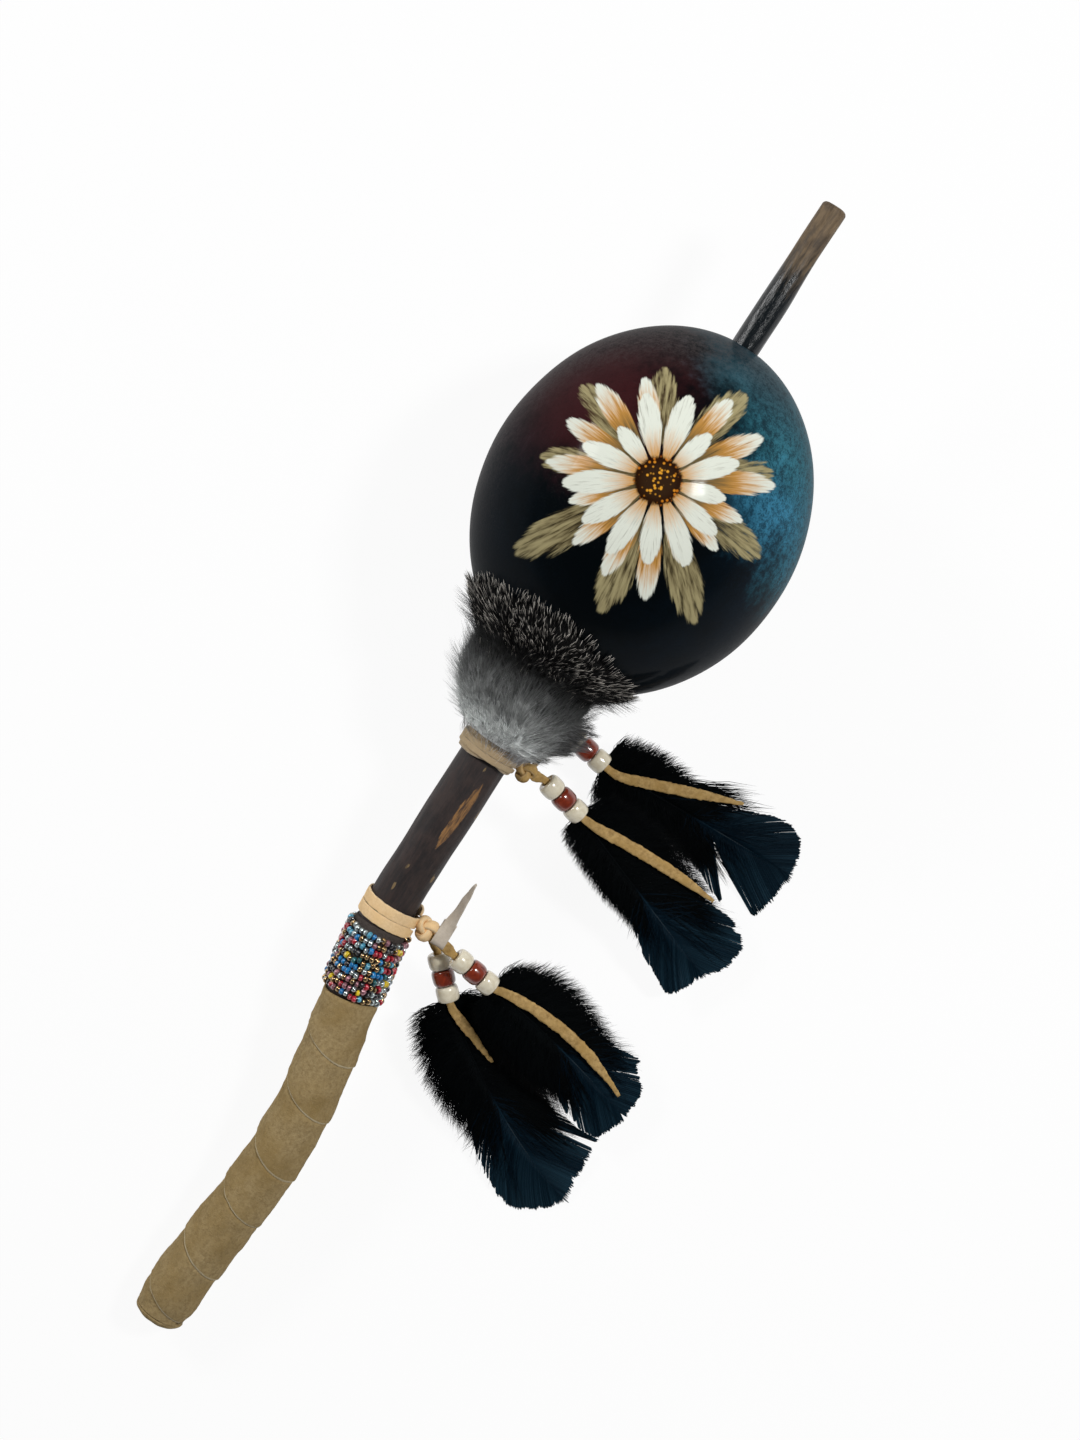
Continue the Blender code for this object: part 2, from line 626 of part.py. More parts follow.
def build_tag(knot, drop):
    """Bare strip folded over a drop's neck: a short arm below, and a long pointed arm above."""
    clear = LACE_RADIUS + 2 * GAP + TAG_THICKNESS / 2
    line = lace_line(drop)
    seat = min(line, key=lambda point: abs(point.xy.length - TAG_FROM_KNOT))
    along_neck = line[-1] - line[0]
    path = [(TAG_SHORT_ARM, -clear, 1.0)]
    for i in range(TAG_FOLD_STEPS + 1):
        turn = math.pi / 2 + math.pi * i / TAG_FOLD_STEPS
        path.append((clear * math.cos(turn), -clear * math.sin(turn), 1.0))
    for i in range(1, TAG_ARM_STEPS + 1):
        share = i / TAG_ARM_STEPS
        width = 1 - (1 - TAG_POINT_SHARE) * share ** 3
        path.append((TAG_LONG_ARM * share, clear + TAG_RISE * share ** 2, width))
    mesh = bpy.data.meshes.new("tag_strip")
    points = []
    for along, height, width in path:
        points.append((along, -TAG_WIDTH / 2 * width, height))
        points.append((along, TAG_WIDTH / 2 * width, height))
    faces = [(2 * i, 2 * i + 1, 2 * i + 3, 2 * i + 2) for i in range(len(path) - 1)]
    mesh.from_pydata(points, [], faces)
    tag = place("tag_strip", mesh, knot, PAPER)
    tag.location = seat
    tag.rotation_euler.z = math.atan2(along_neck.x, -along_neck.y)
    wall = tag.modifiers.new("wall", "SOLIDIFY")
    wall.thickness = TAG_THICKNESS
    wall.offset = 0.0


def rest_on_floor(root, drops_start):
    """Move the whole rattle so that the body's box is centred over the origin and stands on Z = 0."""
    bpy.context.view_layer.update()
    graph = bpy.context.evaluated_depsgraph_get()
    spots = []
    for item in PARTS.objects:
        if item.type == "EMPTY" or item.name.startswith(drops_start):
            continue
        solid = item.evaluated_get(graph)
        mesh = solid.to_mesh()
        flat = np.empty(3 * len(mesh.vertices))
        mesh.vertices.foreach_get("co", flat)
        turn = np.array(item.matrix_world)
        spots.append(flat.reshape(-1, 3) @ turn[:3, :3].T + turn[:3, 3])
        solid.to_mesh_clear()
    spots = np.concatenate(spots)
    low, high = spots.min(axis=0), spots.max(axis=0)
    root.location = Vector((-(low[0] + high[0]) / 2, -(low[1] + high[1]) / 2, -low[2]))
    bpy.context.view_layer.update()


PARTS = start_scene()
ALONG_X = Matrix.Rotation(math.pi / 2, 4, "Y")

SKIN = finish("varnished_gourd", (0.016, 0.020, 0.030), 0.25)
PUTTY = finish("dark_putty", (0.030, 0.026, 0.024), 0.6)
CORK = finish("cork", (0.42, 0.27, 0.15), 0.8)
SEED = finish("seed", (0.50, 0.33, 0.14), 0.6)
BARK = finish("dark_bark", (0.060, 0.035, 0.025), 0.7)
FUR = finish("grey_brown_fur", (0.16, 0.14, 0.13), 0.95)
HIDE = finish("dark_hide", (0.070, 0.055, 0.045), 0.9)
LACE = finish("buckskin_lace", (0.56, 0.36, 0.16), 0.9)
GLASS = finish("seed_beads", (0.12, 0.16, 0.30), 0.2)
SUEDE = finish("olive_suede", (0.36, 0.28, 0.16), 0.95)
CREAM_BEAD = finish("cream_bead", (0.78, 0.72, 0.58), 0.2)
RED_BEAD = finish("red_bead", (0.28, 0.05, 0.025), 0.2)
PLUME = finish("black_feather", (0.010, 0.012, 0.018), 0.6)
PAPER = finish("bare_tag", (0.52, 0.47, 0.40), 0.8)


def main():
    """Build every piece, then set the rattle down on the table."""
    root = empty("rattle", None, Matrix.Identity(4))
    tilt, height = rest_tilt(GRIP_RADIUS)
    axis = empty("stick_axis", root,
                 Matrix.Translation((0.0, 0.0, height)) @ Matrix.Rotation(-tilt, 4, "Y"))
    build_gourd(axis)
    build_pellets(axis)
    build_stick(axis)
    build_collar(axis)
    knots = build_ties(axis)
    build_bead_band(axis)
    build_grip(axis)
    drops = COLLAR_DROPS + GRIP_DROPS
    for drop in drops:
        knot = build_drop(root, drop, knots)
        if drop.name == TAGGED_DROP:
            build_tag(knot, drop)
    rest_on_floor(root, tuple(drop.name for drop in drops) + ("tag_strip",))


main()
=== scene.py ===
"""Looks of the gourd rattle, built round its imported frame.

Every new piece is a surface worked out as whole arrays in the frame's own metres: +X runs along the
stick to its thin tip, +Z is up, the drops lie towards -Y and the table is Z = 0.
"""

import json
import logging
import math
from dataclasses import dataclass, field
from enum import Enum
from typing import Iterable, Optional, Union

import bpy
import numpy as np
from mathutils import Matrix


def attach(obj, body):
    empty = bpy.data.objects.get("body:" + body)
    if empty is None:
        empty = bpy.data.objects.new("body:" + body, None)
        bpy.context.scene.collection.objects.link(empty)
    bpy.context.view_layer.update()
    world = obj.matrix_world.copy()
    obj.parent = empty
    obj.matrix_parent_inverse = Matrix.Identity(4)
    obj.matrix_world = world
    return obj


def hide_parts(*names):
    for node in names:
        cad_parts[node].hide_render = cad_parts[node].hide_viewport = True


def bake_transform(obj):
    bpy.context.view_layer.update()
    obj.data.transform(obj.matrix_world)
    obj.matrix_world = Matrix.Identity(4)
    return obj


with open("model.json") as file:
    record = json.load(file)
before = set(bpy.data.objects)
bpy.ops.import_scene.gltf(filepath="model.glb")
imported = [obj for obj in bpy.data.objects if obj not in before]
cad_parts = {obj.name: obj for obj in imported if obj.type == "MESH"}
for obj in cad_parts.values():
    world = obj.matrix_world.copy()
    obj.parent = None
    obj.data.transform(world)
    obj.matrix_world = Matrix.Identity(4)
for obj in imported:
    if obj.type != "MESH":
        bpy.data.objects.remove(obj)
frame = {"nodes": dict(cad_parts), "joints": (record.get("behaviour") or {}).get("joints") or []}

LOG = logging.getLogger("gourd_rattle")
Array = np.ndarray
Colour = tuple[float, float, float]
Place = tuple[float, float, float]
Floats = tuple[float, ...]
Layers = dict[str, Array]
Material = bpy.types.Material
Piece = bpy.types.Object

# Clearance that touching pieces keep
GAP = 0.0003
UP = np.array((0.0, 0.0, 1.0))

# The camera looks straight down; its picture is turned on the table by this much
VIEW_TURN = math.radians(57.35)
VIEW_RIGHT = np.array((math.cos(VIEW_TURN), -math.sin(VIEW_TURN), 0.0))
VIEW_TOP = np.array((math.sin(VIEW_TURN), math.cos(VIEW_TURN), 0.0))


# Array helpers


def unit(vectors: Array) -> Array:
    """Vectors scaled to length one along the last axis."""
    return vectors / np.maximum(np.linalg.norm(vectors, axis=-1, keepdims=True), 1e-12)


def ease(value: Array, low: float, high: float) -> Array:
    """Smooth step from 0 at low to 1 at high."""
    share = np.clip((value - low) / (high - low), 0.0, 1.0)
    return share * share * (3.0 - 2.0 * share)


def ripple(points: Array, wavelength: float, seed: int, waves: int = 18) -> Array:
    """Smooth random field: a sum of cosine waves of about one wavelength in random directions.

    Args:
        points: places, with x, y and z along the last axis.
        wavelength: typical distance from crest to crest.
        seed: start of the random draws.
        waves: number of waves in the sum.

    Returns:
        Values of about -1 to 1, with the shape of points without its last axis.
    """
    draw = np.random.default_rng(seed)
    heading = unit(draw.normal(size=(waves, 3))) * draw.uniform(0.6, 1.5, (waves, 1))
    phase = draw.uniform(0.0, 2 * math.pi, waves)
    turns = points @ heading.T * (2 * math.pi / wavelength) + phase
    return np.cos(turns).sum(axis=-1) * math.sqrt(1.0 / waves)


def smooth_line(points: Array, step: float) -> Array:
    """Even points on a Catmull-Rom curve through a route's own points.

    Args:
        points: the route, shape (n, 3).
        step: distance between the points that are returned.

    Returns:
        Points on the curve, shape (m, 3).
    """
    ends = np.concatenate([[2 * points[0] - points[1]], points, [2 * points[-1] - points[-2]]])
    a, b, c, d = (ends[i:len(ends) - 3 + i, None] for i in range(4))
    t = np.linspace(0.0, 1.0, 24, endpoint=False)[None, :, None]
    curve = 0.5 * (2 * b + (c - a) * t + (2 * a - 5 * b + 4 * c - d) * t ** 2
                   + (3 * b - a - 3 * c + d) * t ** 3)
    line = np.concatenate([curve.reshape(-1, 3), points[-1:]])
    return evenly(line, step)


def evenly(line: Array, step: float) -> Array:
    """A line again, with points about one step apart.

    Args:
        line: points, shape (n, k).
        step: distance between the points that are returned.

    Returns:
        Points, shape (m, k).
    """
    along = path_lengths(line)
    count = max(2, int(round(along[-1] / step)) + 1)
    at = np.linspace(0.0, along[-1], count)
    return np.stack([np.interp(at, along, column) for column in line.T], axis=1)


def path_lengths(line: Array) -> Array:
    """Distance along a line to each of its points."""
    return np.concatenate([[0.0], np.cumsum(np.linalg.norm(np.diff(line, axis=0), axis=1))])


def circle(count: int) -> Array:
    """Angles of count points round a circle."""
    return np.linspace(0.0, 2 * math.pi, count, endpoint=False)


def with_alpha(colour: Array) -> Array:
    """Colours with an alpha of one added along their last axis."""
    return np.concatenate([colour, np.ones((*colour.shape[:-1], 1))], axis=-1)


# Surfaces


def grid_quads(rows: int, columns: int, loop: bool) -> Array:
    """Quads between neighbours on a grid whose last column joins its first.

    Args:
        rows: rows of points.
        columns: points in a row.
        loop: the last row joins the first too.

    Returns:
        Point numbers, shape (quads, 4).
    """
    row = np.arange(rows if loop else rows - 1)[:, None]
    column = np.arange(columns)[None]
    after = (row + 1) % rows
    beside = (column + 1) % columns
    quads = np.stack([row * columns + column, row * columns + beside,
                      after * columns + beside, after * columns + column], axis=-1)
    return quads.reshape(-1, 4)


@dataclass
class Surface:
    """Points, faces and point attributes of a mesh, as arrays."""

    points: Array
    faces: list[Array]
    layers: Layers = field(default_factory=dict)

    @classmethod
    def swept(cls, rings: Array, loop: bool = False, layers: Optional[Layers] = None) -> "Surface":
        """Skin over closed rings: point j of ring i joins point j of ring i + 1.

        Args:
            rings: shape (rings, points in a ring, 3).
            loop: the last ring joins the first; otherwise a fan closes each end.
            layers: attribute values, shape (rings, points in a ring) or with a last axis of 4.

        Returns:
            The closed surface, with its faces pointing out.
        """
        count, around = rings.shape[:2]
        faces = [grid_quads(count, around, loop)]
        points = rings.reshape(-1, 3)
        spread = {}
        for key, value in (layers or {}).items():
            flat = value.reshape(count * around, *value.shape[2:])
            spread[key] = flat if loop else np.concatenate([flat, value[[0, -1]].mean(axis=1)])
        if not loop:
            first, last = len(points), len(points) + 1
            start = np.arange(around)
            onward = (start + 1) % around
            end = (count - 1) * around
            faces.append(np.stack([np.full(around, first), onward, start], axis=1))
            faces.append(np.stack([np.full(around, last), end + start, end + onward], axis=1))
            points = np.concatenate([points, rings[[0, -1]].mean(axis=1)])
        return cls(points, faces, spread).outward()

    @classmethod
    def strands(cls, lines: Array, across: Array, thick: Array, facing: Array,
                layers: Optional[Layers] = None) -> "Surface":
        """Tapered strands with a three sided section that end in a point.

        The section at each point is a triangle in the plane square to the strand: two corners
        lie across it and one stands towards the side that it faces.

        Args:
            lines: centre lines, shape (strands, points, 3).
            across: half width at each point, shape (strands, points).
            thick: half thickness at each point, shape (strands, points).
            facing: direction that each strand's flat side faces, shape (strands, 3).
            layers: attribute values at the points, shape (strands, points) or with a last axis of 4.

        Returns:
            All strands in one surface, each of them closed.
        """
        many, count = lines.shape[:2]
        heading = unit(np.gradient(lines, axis=1))
        beside = unit(np.cross(heading, facing[:, None]))
        above = np.cross(beside, heading)
        corner = np.radians((90.0, 210.0, 330.0))[None, None, :, None]
        rings = (lines[:, :-1, None]
                 + across[:, :-1, None, None] * np.cos(corner) * beside[:, :-1, None]
                 + thick[:, :-1, None, None] * np.sin(corner) * above[:, :-1, None])
        points = np.concatenate([rings.reshape(many, -1, 3), lines[:, -1:]], axis=1)
        stride = points.shape[1]
        start = np.arange(many)[:, None, None] * stride
        top = (count - 2) * 3 + np.arange(3)
        cone = np.stack([top, np.roll(top, -1), np.full(3, stride - 1)], axis=-1)
        base = np.array([[2, 1, 0]])
        faces = [(grid_quads(count - 1, 3, False) + start).reshape(-1, 4),
                 (np.concatenate([cone, base]) + start).reshape(-1, 3)]
        spread = {}
        for key, value in (layers or {}).items():
            body = np.repeat(value[:, :-1], 3, axis=1)
            full = np.concatenate([body, value[:, -1:]], axis=1)
            spread[key] = full.reshape(many * stride, *value.shape[2:])
        return cls(points.reshape(-1, 3), faces, spread).outward()

    @classmethod
    def joined(cls, parts: Iterable["Surface"]) -> "Surface":
        """Several surfaces as one, with their attributes end to end.

        Args:
            parts: surfaces with the same attributes.

        Returns:
            The one surface.
        """
        parts = list(parts)
        starts = np.cumsum([0] + [len(part.points) for part in parts])
        faces = [block + start for part, start in zip(parts, starts) for block in part.faces]
        layers = {key: np.concatenate([part.layers[key] for part in parts])
                  for key in parts[0].layers}
        return cls(np.concatenate([part.points for part in parts]), faces, layers)

    def outward(self) -> "Surface":
        """Turn the faces so that the volume, a sum of corner products, is above zero.

        Returns:
            The surface itself.
        """
        volume = 0.0
        for block in self.faces:
            corners = self.points[block]
            for i in range(1, block.shape[1] - 1):
                cross = np.cross(corners[:, i], corners[:, i + 1])
                volume += float((corners[:, 0] * cross).sum())
        if volume < 0.0:
            self.faces = [block[:, ::-1] for block in self.faces]
        return self

    def piece(self, name: str, material: Material, body: Optional[str], slot: str,
              replaced: Iterable[str] = ()) -> Piece:
        """Put the surface into the scene as a named piece of the rattle.

        Args:
            name: the piece's name.
            material: its finish.
            body: the body that it rides on, or None.
            slot: the record's material slot; not used.
            replaced: solids that it stands for.

        Returns:
            The new object.
        """
        mesh = bpy.data.meshes.new(name)
        corners = np.concatenate([block.ravel() for block in self.faces])
        sizes = np.concatenate([np.full(len(block), block.shape[1]) for block in self.faces])
        mesh.vertices.add(len(self.points))
        mesh.vertices.foreach_set("co", self.points.astype(np.float32).ravel())
        mesh.loops.add(len(corners))
        mesh.loops.foreach_set("vertex_index", corners.astype(np.int32))
        mesh.polygons.add(len(sizes))
        starts = np.concatenate([[0], np.cumsum(sizes)[:-1]])
        mesh.polygons.foreach_set("loop_start", starts.astype(np.int32))
        mesh.update(calc_edges=True)
        mesh.validate()
        mesh.shade_smooth()
        for key, values in self.layers.items():
            coloured = values.ndim == 2
            kind = "FLOAT_COLOR" if coloured else "FLOAT"
            layer = mesh.attributes.new(key, kind, "POINT")
            layer.data.foreach_set("color" if coloured else "value",
                                   values.astype(np.float32).ravel())
        mesh.materials.append(material)
        item = bpy.data.objects.new(name, mesh)
        bpy.context.scene.collection.objects.link(item)
        if body is not None:
            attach(item, body)
        if replaced:
            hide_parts(*replaced)
        LOG.info("%s: %d points, stands for %s", name, len(self.points), list(replaced))
        return item


def ribbon_rings(line: Array, facing: Array, half_width: Array, half_thick: Array,
                 corners: int = 14, squareness: float = 3.5, loop: bool = False) -> tuple[Array, Array]:
    """Sections of a flat lace: a superellipse carried along a line.

    A section point at turn t lies at half_width * c across and half_thick * s towards the face,
    where c and s are the cosine and sine of t, each raised to 2 / squareness with its sign kept.

    Args:
        line: centre line, shape (n, 3).
        facing: direction that the flat side faces, shape (n, 3).
        half_width: half widths, shape (n,).
        half_thick: half thicknesses, shape (n,).
        corners: points in a section.
        squareness: 2 is an ellipse, and more is closer to a rectangle.
        loop: the line's end joins its start.

    Returns:
        Rings, shape (n, corners, 3), and the place across the lace from -1 to 1, shape (n, corners).
    """
    ahead = np.roll(line, -1, axis=0) - np.roll(line, 1, axis=0) if loop else np.gradient(line, axis=0)
    heading = unit(ahead)
    beside = unit(np.cross(facing, heading))
    above = np.cross(heading, beside)
    turn = circle(corners)
    power = 2.0 / squareness
    wide = np.sign(np.cos(turn)) * np.abs(np.cos(turn)) ** power
    high = np.sign(np.sin(turn)) * np.abs(np.sin(turn)) ** power
    rings = (line[:, None] + half_width[:, None, None] * wide[None, :, None] * beside[:, None]
             + half_thick[:, None, None] * high[None, :, None] * above[:, None])
    return rings, np.broadcast_to(wide, rings.shape[:2])


# Shader expressions


Value = Union["Socket", float]


class Socket:
    """An output of a node; arithmetic on it adds Math nodes."""

    def __init__(self, shader: "Shader", output: bpy.types.NodeSocket) -> None:
        """Wrap an output of one of the shader's nodes."""
        self.shader = shader
        self.output = output

    def __add__(self, other: Value) -> "Socket":
        """Sum."""
        return self.shader.math("ADD", self, other)

    def __radd__(self, other: Value) -> "Socket":
        """Sum with a number first."""
        return self.shader.math("ADD", other, self)

    def __sub__(self, other: Value) -> "Socket":
        """Difference."""
        return self.shader.math("SUBTRACT", self, other)

    def __rsub__(self, other: Value) -> "Socket":
        """Difference from a number."""
        return self.shader.math("SUBTRACT", other, self)

    def __mul__(self, other: Value) -> "Socket":
        """Product."""
        return self.shader.math("MULTIPLY", self, other)

    def __rmul__(self, other: Value) -> "Socket":
        """Product with a number first."""
        return self.shader.math("MULTIPLY", other, self)

    def __truediv__(self, other: Value) -> "Socket":
        """Quotient."""
        return self.shader.math("DIVIDE", self, other)

    def __pow__(self, other: Value) -> "Socket":
        """Power."""
        return self.shader.math("POWER", self, other)

    def __abs__(self) -> "Socket":
        """Absolute value."""
        return self.shader.math("ABSOLUTE", self)


class Shader:
    """A material, or the room's world, being written as expressions."""

    def __init__(self, name: str, world: bool = False) -> None:
        """Start a material with its Principled shader, or a world with its Background.

        Args:
            name: its name.
            world: it is a world.
        """
        self.owner = (bpy.data.worlds if world else bpy.data.materials).new(name)
        self.owner.use_nodes = True
        self.tree = self.owner.node_tree
        self.closing = self.tree.nodes["Background" if world else "Principled BSDF"]

    def feed(self, target: bpy.types.NodeSocket, value: object) -> None:
        """Link a socket to an output, or set its constant.

        Args:
            target: the socket.
            value: an output, a colour, a vector or a number.
        """
        if isinstance(value, Socket):
            self.tree.links.new(value.output, target)
        elif target.type == "RGBA":
            target.default_value = (*value, 1.0)
        else:
            target.default_value = value

    def node(self, kind: str, settings: Optional[dict] = None, inputs: Optional[dict] = None,
             output: int = 0) -> Socket:
        """Add any node.

        Args:
            kind: the node's type.
            settings: its properties; stops are a ramp's places and colours.
            inputs: values or outputs for its sockets, by name or number.
            output: which of its outputs is returned.

        Returns:
            The output.
        """
        made = self.tree.nodes.new(kind)
        for key, value in (settings or {}).items():
            if key != "stops":
                setattr(made, key, value)
                continue
            marks = made.color_ramp.elements
            while len(marks) < len(value):
                marks.new(1.0)
            for mark, (place, colour) in zip(marks, value):
                mark.position = place
                mark.color = (*colour, 1.0)
        for key, value in (inputs or {}).items():
            self.feed(made.inputs[key], value)
        return Socket(self, made.outputs[output])

    def math(self, operation: str, *values: Value) -> Socket:
        """A Math node."""
        return self.node("ShaderNodeMath", {"operation": operation}, dict(enumerate(values)))

    def mix(self, share: Value, first: object, second: object, blend: str = "MIX") -> Socket:
        """First and second colour mixed by a share."""
        settings = {"data_type": "RGBA", "blend_type": blend}
        return self.node("ShaderNodeMix", settings, {0: share, 6: first, 7: second}, 2)

    def place(self) -> Socket:
        """Object coordinates, which are the frame's own metres."""
        return self.node("ShaderNodeTexCoord", output=3)

    def vector(self, operation: str, first: object, second: object, output: int = 0) -> Socket:
        """A Vector Math node."""
        settings = {"operation": operation}
        return self.node("ShaderNodeVectorMath", settings, {0: first, 1: second}, output)

    def dot(self, first: Socket, axis: Array) -> Socket:
        """Share of a vector along a fixed axis."""
        return self.vector("DOT_PRODUCT", first, tuple(axis), 1)

    def joined(self, x: Value, y: Value, z: Value) -> Socket:
        """A vector from three numbers."""
        return self.node("ShaderNodeCombineXYZ", inputs={0: x, 1: y, 2: z})

    def noise(self, where: Socket, scale: float, detail: float = 3.0, rough: float = 0.5,
              twist: float = 0.0) -> Socket:
        """Noise from 0 to 1; scale counts its lumps in a metre."""
        inputs = {"Vector": where, "Scale": scale, "Detail": detail, "Roughness": rough,
                  "Distortion": twist}
        return self.node("ShaderNodeTexNoise", inputs=inputs)

    def stretched(self, where: Socket, scale: Place, turn: Place = (0.0, 0.0, 0.0)) -> Socket:
        """Coordinates turned about the origin and then scaled along each axis."""
        turned = self.node("ShaderNodeMapping", {"vector_type": "TEXTURE"},
                           {"Vector": where, "Rotation": turn})
        return self.vector("MULTIPLY", turned, scale)

    def span(self, value: Value, low: Value, high: Value) -> Socket:
        """Smooth step from 0 at low to 1 at high."""
        settings = {"interpolation_type": "SMOOTHSTEP"}
        return self.node("ShaderNodeMapRange", settings, {0: value, 1: low, 2: high})

    def ramp(self, value: Value, stops: list[tuple[float, Colour]]) -> Socket:
        """A colour from a ramp."""
        return self.node("ShaderNodeValToRGB", {"stops": stops}, {0: value})

    def layer(self, name: str, output: int = 2) -> Socket:
        """A point attribute: its colour is output 0 and its number output 2."""
        return self.node("ShaderNodeAttribute", {"attribute_name": name}, output=output)

    def bump(self, height: Value, strength: float, distance: float) -> Socket:
        """A normal from a height."""
        inputs = {"Height": height, "Strength": strength, "Distance": distance}
        return self.node("ShaderNodeBump", inputs=inputs)

    def done(self, **sockets: object) -> Material:
        """Feed the closing shader.

        Args:
            sockets: values or outputs, by socket names written with underscores.

        Returns:
            The finished material or world.
        """
        for key, value in sockets.items():
            self.feed(self.closing.inputs[key.replace("_", " ")], value)
        return self.owner


# Finishes


@dataclass(frozen=True)
class GourdPaint:
    """Dark sponged paint under varnish, with a daisy of brush strokes on the upper face, and a painted
    reflection: a grey sheen along the upper rim.
    """

    middle: Place
    radius: float
    black: Colour = (0.0010, 0.0022, 0.0030)
    maroon: Colour = (0.036, 0.0085, 0.0100)
    navy: Colour = (0.0024, 0.0078, 0.0150)
    teal: Colour = (0.0420, 0.2200, 0.2950)
    blue: Colour = (0.0420, 0.2150, 0.3550)
    painted_rim_sheen: Colour = (0.0560, 0.0440, 0.0440)
    scuff: Colour = (0.0330, 0.0390, 0.0360)
    cream: Colour = (0.72, 0.75, 0.66)
    ochre: Colour = (0.56, 0.27, 0.055)
    amber: Colour = (0.72, 0.33, 0.030)
    olive: Colour = (0.105, 0.080, 0.036)
    straw: Colour = (0.36, 0.31, 0.16)
    umber: Colour = (0.030, 0.014, 0.006)
    bloom: tuple[float, float] = (0.06, 0.10)
    heart_radius: float = 0.15

    def strokes(self, s: Shader, reach: Socket, turn: Socket, count: int, phase: float,
                start: float, length: float, fullness: float) -> tuple[Socket, Socket, Socket]:
        """A ring of brush strokes round the daisy's heart.

        The turn is cut into count equal cells. In its cell a stroke is as wide as the sine of its
        own length share, and its length, its end and the hairs of the brush vary from cell to cell.

        Args:
            s: the shader.
            reach: distance from the heart.
            turn: angle round the heart.
            count: strokes in the ring.
            phase: shift of the ring in cells.
            start: reach at which the strokes begin.
            length: usual length.
            fullness: half width of a stroke in cells.

        Returns:
            The strokes' mask, the share of the length, and the brush hairs from 0 to 1.
        """
        cells = turn * (count / (2 * math.pi)) + phase
        cell = s.math("FLOOR", cells)
        across = cells - cell - 0.5
        number = s.math("FLOORED_MODULO", cell, float(count))
        chance = s.node("ShaderNodeTexWhiteNoise", {"noise_dimensions": "1D"}, {"W": number + phase})
        share = (reach - start) / (length * 0.78 + chance * (length * 0.44))
        hair_at = s.joined(across * 9.0 + chance * 40.0, share * 1.6, number * 3.7)
        hairs = s.noise(hair_at, 2.2, 3.0, 0.6)
        inside = s.math("SINE", s.math("MINIMUM", s.math("MAXIMUM", share, 0.0), 1.0) ** 0.75 * math.pi)
        room = inside ** 0.6 * fullness - abs(across) + (hairs - 0.5) * 0.22
        mask = s.span(room, 0.0, 0.07) * s.span(share, 0.0, 0.05) * s.span(1.0 - share, 0.0, 0.04)
        return mask, share, hairs

    def make(self) -> Material:
        """The gourd's painted and varnished skin.

        Returns:
            The material.
        """
        s = Shader("painted_gourd")
        where = s.place()
        here = s.vector("SUBTRACT", where, self.middle)
        x = s.dot(here, VIEW_RIGHT / self.radius)
        y = s.dot(here, VIEW_TOP / self.radius)
        z = s.dot(here, UP / self.radius)
        cloud = s.noise(where, 55.0, 5.0, 0.6)
        sponge = s.noise(where, 420.0, 4.0, 0.65)
        drift = (cloud - 0.5) * 0.7 + (sponge - 0.5) * 0.25

        warm = s.math("SQRT", (x * 0.75 + 0.22) ** 2.0 + (y - 0.62) ** 2.0)
        paint = s.mix(s.span(0.62 - warm + drift, 0.0, 0.55), self.black, self.maroon)
        paint = s.mix(s.span(x * 0.55 - y * 0.60 + drift, 0.25, 1.0) * 0.8, paint, self.navy)
        paint = s.mix(s.span(x * 0.85 + y * 0.20 + drift * 0.8, 0.40, 0.95), paint, self.teal)
        cool = s.math("SQRT", (x - 0.74) ** 2.0 + (y + 0.08) ** 2.0)
        paint = s.mix(s.span(0.40 - cool + drift * 0.7, 0.0, 0.45) * 0.8, paint, self.blue)
        paint = s.mix(s.span(drift - x, 0.45, 1.05) * 0.5, paint, self.navy)
        grit = s.noise(where, 1500.0, 3.0, 0.7)
        dab = s.span(sponge * 0.45 + grit * 0.55, 0.40, 0.58)
        paint = s.mix((1.0 - dab) * s.span(x, 0.25, 0.70) * 0.70, paint, self.navy)
        paint = s.mix(s.span(x ** 2.0 + y ** 2.0 + drift * 0.3, 0.66, 1.10) * 0.50, paint, self.black)
        bristle = s.noise(s.stretched(where, (1.0, 0.18, 0.6), (0.0, 0.0, 0.5)), 1300.0, 3.0, 0.6)
        # Painted reflection: a grey sheen painted along the upper rim, broken up by the sponge
        rim = s.span(x ** 2.0 + y ** 2.0 + drift * 0.35, 0.55, 1.05) * s.span(y - x * 0.25, -0.1, 0.9)
        paint = s.mix(rim * s.span(grit * 0.5 + sponge * 0.5, 0.34, 0.66) * 0.75, paint, self.painted_rim_sheen)
        rubbed = s.span(grit, 0.52, 0.78) * s.span(cloud, 0.38, 0.62) * s.span(y, -0.7, 0.2)
        paint = s.mix(rubbed * 0.30, paint, self.scuff)
        paint = s.mix(s.span(bristle, 0.55, 0.80) * 0.28, paint, self.black)

        dx = x - self.bloom[0]
        dy = y - self.bloom[1]
        reach = s.math("SQRT", dx ** 2.0 + dy ** 2.0)
        turn = s.math("ARCTAN2", dy, dx)
        facing = s.span(z, 0.15, 0.35)

        leaf, leaf_share, leaf_hair = self.strokes(s, reach, turn, 9, 0.35, 0.20, 0.62, 0.30)
        leaf_paint = s.mix(s.span(leaf_hair + leaf_share * 0.25, 0.45, 0.85), self.olive, self.straw)
        paint = s.mix(leaf * facing * s.span(leaf_hair, 0.22, 0.50), paint, leaf_paint)

        back, back_share, back_hair = self.strokes(s, reach, turn, 15, 0.5, 0.10, 0.50, 0.42)
        back_paint = s.mix(s.span(back_share + back_hair * 0.5, 0.45, 1.0), self.olive, self.ochre)
        back_paint = s.mix(s.span(back_share + back_hair * 0.6, 0.85, 1.25), back_paint, self.cream)
        paint = s.mix(back * facing * s.span(back_hair, 0.12, 0.40), paint, back_paint)

